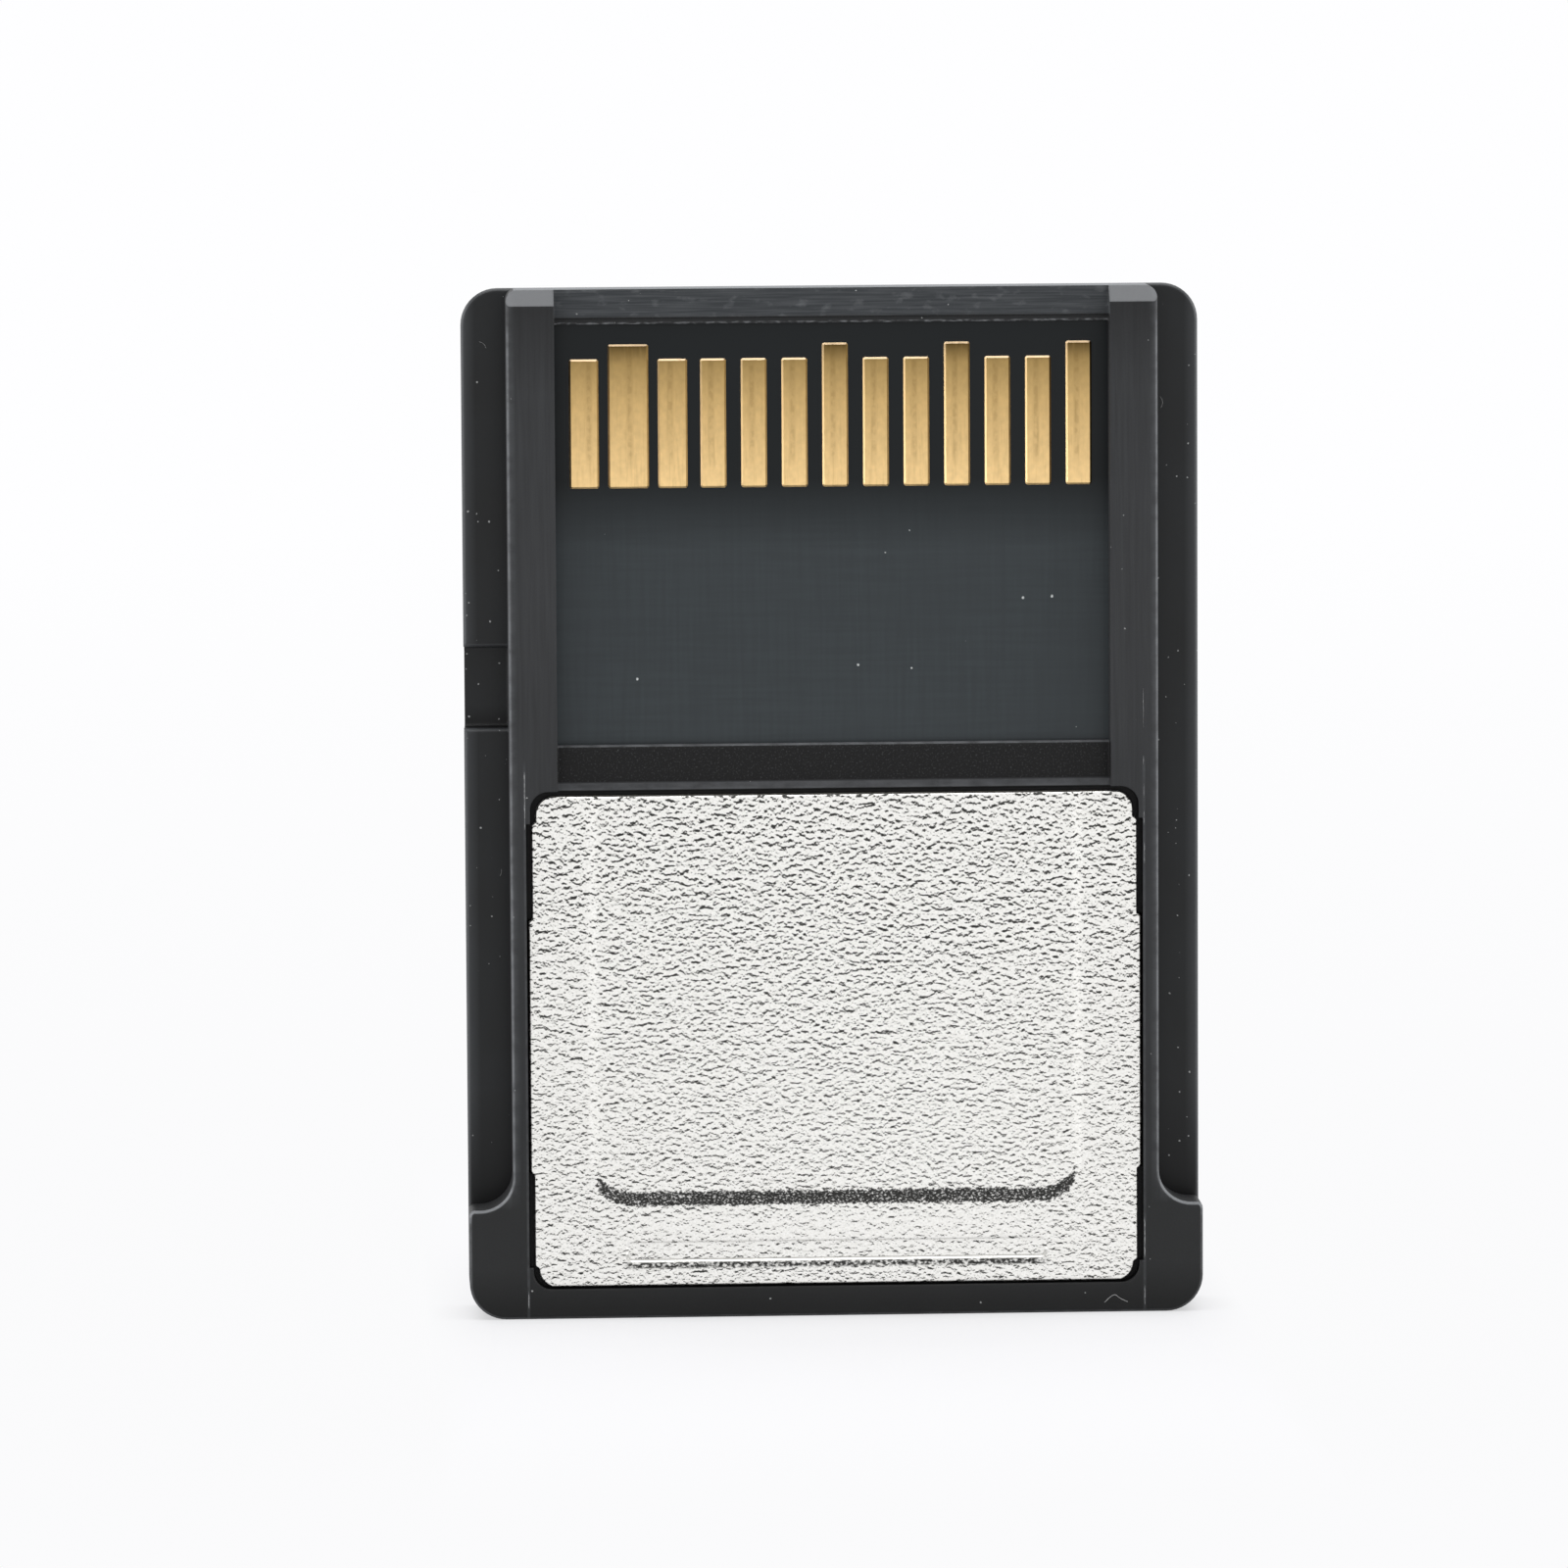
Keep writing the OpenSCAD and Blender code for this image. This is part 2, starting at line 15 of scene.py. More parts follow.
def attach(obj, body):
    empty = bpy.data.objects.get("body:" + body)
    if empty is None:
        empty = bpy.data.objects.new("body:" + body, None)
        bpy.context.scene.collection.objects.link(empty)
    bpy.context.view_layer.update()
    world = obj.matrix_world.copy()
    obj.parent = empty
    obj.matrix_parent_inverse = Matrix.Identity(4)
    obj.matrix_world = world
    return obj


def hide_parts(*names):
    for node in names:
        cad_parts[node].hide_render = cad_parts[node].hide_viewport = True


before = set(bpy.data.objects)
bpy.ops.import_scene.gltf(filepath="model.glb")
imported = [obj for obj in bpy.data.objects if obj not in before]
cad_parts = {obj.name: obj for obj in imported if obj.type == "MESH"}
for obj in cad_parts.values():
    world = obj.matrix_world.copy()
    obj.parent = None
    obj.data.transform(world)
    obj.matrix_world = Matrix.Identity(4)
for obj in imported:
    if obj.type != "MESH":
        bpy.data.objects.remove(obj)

MM = 0.001
log = logging.getLogger("memory_card")

Colour = tuple[float, float, float, float]
Point = tuple[float, float, float]
Socket = bpy.types.NodeSocket

# In millimetres: places that both halves of the card share, and limits past the card for masks
# that are open on one side
NOSE_Z, END_Z = 27.5, 27.9
UNDER, OVER = -1.0, 29.0
FRONT, BACK = -2.0, 9.0
# Ranges of the normal: how far a rounded edge faces the back, and how far a level face faces up
ROUNDED_EDGE = (-0.86, -0.25)
LEVEL = (0.97, 1.0)


def linear(colour: str) -> Colour:
    """Turns an sRGB colour into the linear values that Blender's sockets hold.

    Args:
        colour: The colour as #RRGGBB.

    Returns:
        Linear red, green and blue, and an alpha of 1.
    """
    shares = [int(colour[i : i + 2], 16) / 255 for i in (1, 3, 5)]
    light = [s / 12.92 if s <= 0.04045 else ((s + 0.055) / 1.055) ** 2.4 for s in shares]
    return (*light, 1.0)


def add(
    tree: bpy.types.NodeTree,
    kind: str,
    inputs: dict[int | str, Any] | None = None,
    output: int | str = 0,
    **settings: Any,
) -> Socket:
    """Adds one node with its settings and links.

    Args:
        tree: The node tree that gets the node.
        kind: The node's type, without "ShaderNode" in front.
        inputs: A value or a socket to link, by the input's name or number.
        output: The name or number of the output that is handed back.
        **settings: The node's own properties.

    Returns:
        The chosen output socket, or the first input of a node that has no output.
    """
    node = tree.nodes.new("ShaderNode" + kind)
    for name, value in settings.items():
        setattr(node, name, value)
    for key, value in (inputs or {}).items():
        if isinstance(value, Socket):
            tree.links.new(value, node.inputs[key])
        else:
            node.inputs[key].default_value = value
    return node.outputs[output] if len(node.outputs) else node.inputs[0]


class Surface:
    """A material under construction, whose patterns are measured in millimetres on the card."""

    def __init__(self, name: str) -> None:
        """Starts an empty material.

        Args:
            name: The material's name.
        """
        self.material = bpy.data.materials.new(name)
        self.material.use_nodes = True
        self.tree = self.material.node_tree
        self.tree.nodes.clear()
        metres = add(self.tree, "TexCoord", output="Object")
        self.place = add(self.tree, "VectorMath", {0: metres, "Scale": 1 / MM}, operation="SCALE")
        axes = add(self.tree, "SeparateXYZ", {0: self.place}).node
        self.x, self.y, self.z = axes.outputs
        self.off_centre = add(self.tree, "Math", {0: self.x}, operation="ABSOLUTE")

    def facing(self) -> list[Socket]:
        """How far the surface faces right, back and up, each from -1 to 1."""
        normal = add(self.tree, "NewGeometry", output="Normal")
        return list(add(self.tree, "SeparateXYZ", {0: normal}).node.outputs)

    def between(self, value: Socket, low: float, high: float, soft: float) -> Socket:
        """A mask that is 1 from low to high and fades to 0 over the soft width outside.

        Args:
            value: What is measured, in millimetres.
            low: Where the mask starts.
            high: Where it ends.
            soft: The width of each fade.

        Returns:
            The mask's socket.
        """
        middle, half = (low + high) / 2, (high - low) / 2
        away = add(self.tree, "Math", {0: value, 1: middle}, operation="SUBTRACT")
        far = add(self.tree, "Math", {0: away}, operation="ABSOLUTE")
        return add(self.tree, "MapRange", {0: far, 1: half, 2: half + soft, 3: 1.0, 4: 0.0})

    def within(self, half_w: float, soft: float) -> Socket:
        """A mask that is 1 up to half_w off the card's middle and fades to 0 beyond it."""
        far = self.off_centre
        return add(self.tree, "MapRange", {0: far, 1: half_w, 2: half_w + soft, 3: 1.0, 4: 0.0})

    def overlap(self, first: Any, *others: Any) -> Socket:
        """Where masks overlap, or a mask weakened by a number.

        Args:
            first: A mask.
            *others: The masks and numbers that it is multiplied by, one after another.

        Returns:
            The product's socket.
        """
        for other in others:
            first = add(self.tree, "Math", {0: first, 1: other}, operation="MULTIPLY")
        return first

    def mottle(self, size: Point, detail: float = 2.0, shift: Any = (0.0, 0.0, 0.0)) -> Socket:
        """An uneven pattern from 0 to 1, such as grain, streaks or stains.

        Args:
            size: The pattern's size across, through and up the card, in millimetres.
            detail: How many finer layers it has.
            shift: How far off the shaded point it is read, in millimetres, as a vector or a socket.

        Returns:
            The pattern's socket.
        """
        moved = add(self.tree, "VectorMath", {0: self.place, 1: shift}, operation="ADD")
        scale = tuple(1 / s for s in size)
        scaled = add(self.tree, "VectorMath", {0: moved, 1: scale}, operation="MULTIPLY")
        return add(self.tree, "TexNoise", {"Vector": scaled, "Scale": 1.0, "Detail": detail})

    def specks(self, spacing: float, radius: float, share: float) -> Socket:
        """Specks of dust, one to a cell at the most.

        Args:
            spacing: The cells' size in millimetres.
            radius: The largest speck's radius in millimetres.
            share: The share of the cells that have a speck.

        Returns:
            A mask that is 1 on the specks.
        """
        # The cells are bent a little, so that no specks stand in rows
        wander = add(self.tree, "TexNoise", {"Vector": self.place, "Scale": 14.0}, "Color")
        warp = add(self.tree, "VectorMath", {0: wander, "Scale": 0.05}, operation="SCALE")
        bent = add(self.tree, "VectorMath", {0: self.place, 1: warp}, operation="ADD")
        cells = add(self.tree, "TexVoronoi", {"Vector": bent, "Scale": 1 / spacing}).node
        chance = add(self.tree, "SeparateColor", {0: cells.outputs["Color"]})
        largest = radius / spacing
        reach = add(self.tree, "MapRange", {0: chance, 1: 1 - share, 2: 1.0, 3: 0.0, 4: largest})
        inner = add(self.tree, "Math", {0: reach, 1: 0.5}, operation="MULTIPLY")
        far = cells.outputs["Distance"]
        return add(self.tree, "MapRange", {0: far, 1: inner, 2: reach, 3: 1.0, 4: 0.0})

    def painted(self, base: Any, *coats: tuple[Any, Any]) -> Socket:
        """Lays colours over a base, one after another.

        Args:
            base: The base colour, as hex or a socket.
            *coats: Each coat's share, as a mask or a number, and its colour, as hex or a socket.

        Returns:
            The last colour's socket.
        """
        for share, coat in coats:
            under, over = (linear(c) if isinstance(c, str) else c for c in (base, coat))
            base = add(self.tree, "Mix", {0: share, 6: under, 7: over}, 2, data_type="RGBA")
        return base

    def close(self, **sockets: Any) -> bpy.types.Material:
        """Ends the material in a Principled surface.

        Args:
            **sockets: The Principled inputs, with underscores for the spaces in their names.

        Returns:
            The finished material.
        """
        inputs = {name.replace("_", " "): value for name, value in sockets.items()}
        surface = add(self.tree, "BsdfPrincipled", inputs)
        add(self.tree, "OutputMaterial", {"Surface": surface})
        return self.material


@dataclass(frozen=True)
class SatinPolymer:
    """Glass-filled polymer from a spark-eroded tool. Sizes in millimetres.

    The eye gets a dull dark grey with faint marks along the height. Its rounded edges, fillet brows
    and nose chamfers get painted highlights, and its lower rails, grip, lip and pocket painted
    shade.
    """

    name: str = "spark_eroded_glass_filled_polymer"
    rail: str = "#2F3032"
    grip: str = "#212223"
    bar: str = "#303336"
    # The lip's colour is painted shade under the bar's lower edge
    lip: str = "#202122"
    crossbar: str = "#070708"
    # Painted shade: the pocket's gap is painted nearly black
    pocket_painted_shade: str = "#060607"
    # A pale grey for painted highlights on rounded edges, also used for the insert's faint line
    mark_and_highlight: str = "#5C5E61"
    # A paler grey for scuffs and flash, and for painted highlights and glints
    scuff_and_highlight: str = "#7C7E81"
    dust: str = "#B4B6B6"
    window_half_w: float = 7.5
    pocket_half_w: float = 8.7
    pocket_z: tuple[float, float] = (0.8, 14.44)
    pocket_face_y: float = -1.37
    lip_z: float = 27.05
    lip_y: tuple[float, float] = (-1.0, -0.8)
    flash_h: float = 0.04
    bar_z: float = 27.22
    insert_x: float = 8.4
    insert_z: tuple[float, float] = (14.9, 15.3)
    rail_side_x: tuple[float, float] = (8.76, 9.0)
    rail_shade_z: tuple[float, float] = (3.0, 18.0)
    nose_shade_z: tuple[float, float] = (25.2, 27.5)
    highlight_end_z: tuple[float, float] = (27.0, 27.15)
    brow_x: tuple[float, float] = (8.86, 10.1)
    brow_z: tuple[float, float] = (2.85, 3.9)
    bevel_z: tuple[float, float] = (14.42, 14.62)
    crossbar_z: tuple[float, float] = (14.66, 15.62)
    grip_z: float = 3.0
    grip_flat_z: float = 2.6
    grip_shade_z: tuple[float, float] = (0.3, 1.4)
    fillet_h: float = 1.2
    mark_mm: float = 0.08
    # Eroded grain is about 0.02 mm across, and is drawn coarser so that it shows
    grain_mm: float = 0.05

    def zones_with_painted_shade(
        self, s: Surface, above_grip: Socket, up_marks: Socket, scuffs: Socket
    ) -> Socket:
        """The colour zone by zone as the tool left it, with painted shade on the lip under the bar
        and towards the bottom of the rails and grip.

        Args:
            s: The surface.
            above_grip: A mask that rises over the grip's fillets.
            up_marks: Marks that run up the rails.
            scuffs: Patches of scuffing.

        Returns:
            The colour's socket.
        """
        inside = s.within(self.window_half_w, 0.02)
        bar = s.overlap(inside, s.between(s.z, self.bar_z, OVER, 0.03))
        # The lip under the bar's edge gets painted shade
        lip = s.overlap(inside, s.between(s.z, self.lip_z, self.bar_z, 0.03))
        crossbar = s.overlap(inside, s.between(s.z, *self.crossbar_z, 0.03))
        clouds = s.mottle((2.2, 2.2, 3.1), 3.0)
        marked = add(s.tree, "MapRange", {0: up_marks, 1: 0.3, 2: 0.7, 3: -0.13, 4: 0.13})
        cloudy = add(s.tree, "MapRange", {0: clouds, 1: 0.3, 2: 0.7, 3: 0.92, 4: 1.08})
        parts = {0: marked, 1: above_grip, 2: cloudy}
        shade = add(s.tree, "Math", parts, operation="MULTIPLY_ADD")
        # The rails are darker just under their noses, and painted shade darkens them towards the
        # grip
        low, high = self.nose_shade_z
        by_nose = add(s.tree, "MapRange", {0: s.z, 1: low, 2: high, 3: 1.0, 4: 0.5})
        low, high = self.rail_shade_z
        rail_painted_shade = add(s.tree, "MapRange", {0: s.z, 1: low, 2: high, 3: 0.66, 4: 1.0})
        value = s.overlap(shade, s.overlap(by_nose, rail_painted_shade))
        rail = add(s.tree, "HueSaturation", {"Color": linear(self.rail), "Value": value})
        # Painted shade: the grip's face darkens towards the bottom
        low, high = self.grip_shade_z
        grip_painted_shade = add(s.tree, "MapRange", {0: s.z, 1: low, 2: high, 3: 0.3, 4: 1.0})
        value = s.overlap(shade, grip_painted_shade)
        grip = add(s.tree, "HueSaturation", {"Color": linear(self.grip), "Value": value})
        # The reader's mouth wears the bar across and in patches
        cross_marks = s.mottle((1.8, 1.0, 0.06), 3.0)
        across = add(s.tree, "MapRange", {0: cross_marks, 1: 0.4, 2: 0.8, 3: 0.0, 4: 0.22})
        patches = add(s.tree, "MapRange", {0: scuffs, 1: 0.56, 2: 0.74, 3: 0.0, 4: 0.3})
        worn = add(s.tree, "Math", {0: across, 1: patches}, operation="ADD")
        bar_colour = s.painted(self.bar, (worn, self.scuff_and_highlight))
        # Torn flash hangs along the lip's lower edge
        torn = s.mottle((0.22, 1.0, 0.07), 3.0)
        torn = add(s.tree, "MapRange", {0: torn, 1: 0.45, 2: 0.68, 3: 0.05, 4: 0.9})
        hem = s.between(s.z, self.lip_z, self.lip_z + self.flash_h, 0.03)
        flash = s.overlap(inside, s.overlap(hem, s.between(s.y, *self.lip_y, 0.01)), torn)
        return s.painted(
            grip,
            (above_grip, rail),
            (crossbar, self.crossbar),
            (bar, bar_colour),
            (lip, self.lip),
            (flash, self.scuff_and_highlight),
        )

    def with_highlights_and_line(self, s: Surface, body: Socket, above_grip: Socket, scuffs: Socket) -> Socket:
        """The colour with painted highlights on rounded edges, fillet brows and nose chamfers, and
        the faint line that the tool's insert leaves.

        Args:
            s: The surface.
            body: The colour as moulded.
            above_grip: A mask that rises over the grip's fillets.
            scuffs: Patches of scuffing.

        Returns:
            The colour's socket.
        """
        _, back, up = s.facing()
        # A rounded edge faces neither forward nor aside, and gets a pale painted highlight
        low, high = self.highlight_end_z
        below_end = add(s.tree, "MapRange", {0: s.z, 1: low, 2: high, 3: 1.0, 4: 0.0})
        edge_highlight = s.overlap(s.between(back, *ROUNDED_EDGE, 0.08), below_end)
        # The bevel over the plate and the grip's outline get less painted highlight than the rails
        inside = s.within(self.window_half_w, 0.02)
        bevel = s.overlap(inside, s.between(s.z, *self.bevel_z, 0.03))
        outline = s.overlap(s.between(s.z, UNDER, self.grip_flat_z, 0.1), 1.3)
        spared = add(s.tree, "Math", {0: bevel, 1: outline}, operation="MAXIMUM")
        kept = add(s.tree, "MapRange", {0: spared, 1: 0.0, 2: 1.0, 3: 1.0, 4: 0.45})
        # The rails' outer sides get a fainter painted highlight
        rail_side = s.overlap(
            s.between(s.off_centre, *self.rail_side_x, 0.2),
            0.4,
            s.overlap(above_grip, s.between(back, -1.0, -0.25, 0.1)),
        )
        highlight_parts = {0: s.overlap(edge_highlight, kept), 1: rail_side}
        edge_highlight = add(s.tree, "Math", highlight_parts, operation="MAXIMUM")
        patchy = add(s.tree, "MapRange", {0: scuffs, 1: 0.3, 2: 0.6, 3: 0.3, 4: 0.95})
        # The brow of each fillet gets the palest painted highlight
        brow = s.overlap(
            s.between(s.z, *self.brow_z, 0.05), s.between(s.off_centre, *self.brow_x, 0.05)
        )
        # The mould's insert left a faint dotted line beside the plate
        low, high = self.insert_z
        low_part = add(s.tree, "MapRange", {0: s.z, 1: low, 2: high, 3: 0.3, 4: 0.0})
        line = s.between(s.off_centre, self.insert_x - 0.02, self.insert_x + 0.02, 0.03)
        # The nose chamfers face up and out, and get a pale painted highlight
        nose = s.overlap(
            s.between(up, 0.45, 0.95, 0.1),
            s.overlap(s.between(s.z, NOSE_Z, OVER, 0.02), s.between(back, -0.95, -0.45, 0.1)),
        )
        return s.painted(
            body,
            (s.overlap(edge_highlight, patchy), self.mark_and_highlight),
            (s.overlap(edge_highlight, brow, 0.6), self.scuff_and_highlight),
            (s.overlap(line, low_part, patchy), self.mark_and_highlight),
            (s.overlap(nose, 0.5), self.scuff_and_highlight),
        )

    def material(self) -> bpy.types.Material:
        """Builds the polymer with its zones, marks and dust.

        Returns:
            The finished material.
        """
        s = Surface(self.name)
        inside = s.within(self.window_half_w, 0.02)
        crossbar = s.overlap(inside, s.between(s.z, *self.crossbar_z, 0.03))
        low, high = self.grip_z, self.grip_z + self.fillet_h
        above_grip = add(s.tree, "MapRange", {0: s.z, 1: low, 2: high, 3: 0.0, 4: 1.0})
        up_marks = s.mottle((self.mark_mm, 1.0, 2.4), 3.0)
        scuffs = s.mottle((0.5, 0.5, 0.3), 4.0)
        grain = s.mottle((self.grain_mm,) * 3, 2.0)
        body = self.zones_with_painted_shade(s, above_grip, up_marks, scuffs)
        body = self.with_highlights_and_line(s, body, above_grip, scuffs)
        _, _, up = s.facing()
        end_face = s.overlap(s.between(up, *LEVEL, 0.01), s.between(s.z, END_Z, OVER, 0.02))
        # Inside the plate's pocket there are no painted highlights or dust, and the gap is painted
        # nearly black, which is painted shade
        deep = s.overlap(
            s.between(s.z, *self.pocket_z, 0.02),
            s.between(s.y, self.pocket_face_y, BACK, 0.02),
            s.within(self.pocket_half_w, 0.02),
        )
        # Painted glints: pale flecks on the crossbar's coarse grain
        glints = add(s.tree, "MapRange", {0: grain, 1: 0.55, 2: 0.78, 3: 0.0, 4: 0.2})
        dust = s.overlap(s.specks(0.36, 0.03, 0.5), 0.7)
        colour = s.painted(
            body,
            (s.overlap(end_face, 0.85), self.scuff_and_highlight),
            (s.overlap(crossbar, glints), self.scuff_and_highlight),
            (dust, self.dust),
            (deep, self.pocket_painted_shade),
        )
        rough = add(s.tree, "MapRange", {0: grain, 1: 0.3, 2: 0.7, 3: 0.46, 4: 0.62})
        rough = add(s.tree, "Math", {0: rough, 1: s.overlap(dust, 0.3)}, operation="ADD")
        rough = add(s.tree, "MapRange", {0: end_face, 1: 0.0, 2: 1.0, 3: rough, 4: 0.8})
        # The crossbar's face is much coarser than the rest
        relief = add(s.tree, "Math", {0: crossbar, 1: 2.6, 2: 0.3}, operation="MULTIPLY_ADD")
        edge = add(s.tree, "Bevel", {"Radius": 0.09 * MM}, samples=4)
        marks = {"Height": s.overlap(up_marks, above_grip), "Strength": 0.1, "Distance": 0.01 * MM}
        marks = add(s.tree, "Bump", marks | {"Normal": edge})
        pits = {"Height": s.overlap(grain, relief), "Strength": 0.5, "Distance": 0.008 * MM}
        bump = add(s.tree, "Bump", pits | {"Normal": marks})
        return s.close(
            Base_Color=colour, Roughness=rough, Normal=bump, IOR=1.5, Specular_IOR_Level=0.25
        )


@dataclass(frozen=True)
class GlossPolymer:
    """The same polymer from a smoother tool. Sizes in millimetres.

    The eye gets a deeper black that mirrors softly, with specks of lint and hair scratches.
    """

    name: str = "smooth_moulded_glass_filled_polymer"
    body: str = "#191A1B"
    haze: str = "#212325"
    # A pale grey for painted highlights on the flanges' edges
    mark_and_highlight: str = "#505255"
    scuff_and_highlight: str = "#7C7E81"
    shadow: str = "#030304"
    dust: str = "#BFC1C1"
    flange_x: tuple[float, float] = (9.62, 9.92)
    flange_y: float = 0.52
    notch_z: tuple[float, float] = (16.14, 16.64)
    grip_shade_z: tuple[float, float] = (3.4, 6.2)
    # A hair scratch is about 0.01 mm wide, and is drawn wider so that it shows
    scratch_mm: float = 0.03
    ripple_mm: float = 0.09

    def material(self) -> bpy.types.Material:
        """Builds the polymer with its haze, scratches and dust.

        Returns:
            The finished material.
        """
        s = Surface(self.name)
        clouds = s.mottle((1.8, 1.8, 2.6), 4.0)
        scratches = s.mottle((self.scratch_mm, 1.0, 3.5), 1.0)
        hair = add(s.tree, "MapRange", {0: scratches, 1: 0.66, 2: 0.74, 3: 0.0, 4: 0.35})
        haze = add(s.tree, "MapRange", {0: clouds, 1: 0.35, 2: 0.7, 3: 0.0, 4: 0.8})
        # The outer edge of each flange gets a pale painted highlight
        inner, outer = self.flange_x
        highlight_parts = add(s.tree, "MapRange", {0: s.off_centre, 1: inner, 2: outer, 3: 0.0, 4: 0.4})
        highlight_parts = s.overlap(highlight_parts, s.between(s.y, -0.1, 0.1, 0.1))
        # The flange is darkest where the grip's fillet shades it, and so is the notch's low end
        low, high = self.grip_shade_z
        by_grip = add(s.tree, "MapRange", {0: s.z, 1: low, 2: high, 3: 0.85, 4: 0.0})
        by_grip = s.overlap(s.between(s.y, -0.1, self.flange_y, 0.01), by_grip)
        low, high = self.notch_z
        low_notch = add(s.tree, "MapRange", {0: s.z, 1: low, 2: high, 3: 0.9, 4: 0.0})
        low_notch = s.overlap(s.between(s.y, 0.3, self.flange_y, 0.02), low_notch)
        dark = add(s.tree, "Math", {0: by_grip, 1: low_notch}, operation="MAXIMUM")
        # A rounded edge faces neither forward nor aside, and gets a pale painted highlight
        _, back, up = s.facing()
        edge_highlight = s.between(back, *ROUNDED_EDGE, 0.08)
        edge_highlight = s.overlap(edge_highlight, s.between(s.y, -0.1, 0.2, 0.03))
        end_face = s.overlap(s.between(up, *LEVEL, 0.01), s.between(s.z, END_Z, OVER, 0.02))
        # Dust gathers on the ledges beside the rails more than on the open label side
        dust = s.overlap(s.specks(0.28, 0.036, 0.8), s.between(s.y, FRONT, 0.6, 0.05))
        colour = s.painted(
            self.body,
            (haze, self.haze),
            (highlight_parts, self.mark_and_highlight),
            (dark, self.shadow),
            (s.overlap(edge_highlight, 0.35), self.mark_and_highlight),
            (s.overlap(end_face, 0.85), self.scuff_and_highlight),
            (hair, self.haze),
            (s.overlap(dust, 0.7), self.dust),
        )
        rough = add(s.tree, "MapRange", {0: clouds, 1: 0.3, 2: 0.7, 3: 0.3, 4: 0.42})
        rough = add(s.tree, "Math", {0: rough, 1: s.overlap(dust, 0.5)}, operation="ADD")
        rough = add(s.tree, "MapRange", {0: end_face, 1: 0.0, 2: 1.0, 3: rough, 4: 0.8})
        edge = add(s.tree, "Bevel", {"Radius": 0.06 * MM}, samples=4)
        ripple = s.mottle((self.ripple_mm,) * 3, 2.0)
        ripples = {"Height": ripple, "Strength": 0.25, "Distance": 0.004 * MM, "Normal": edge}
        bump = add(s.tree, "Bump", ripples)
        return s.close(
            Base_Color=colour, Roughness=rough, Normal=bump, IOR=1.5, Specular_IOR_Level=0.25
        )


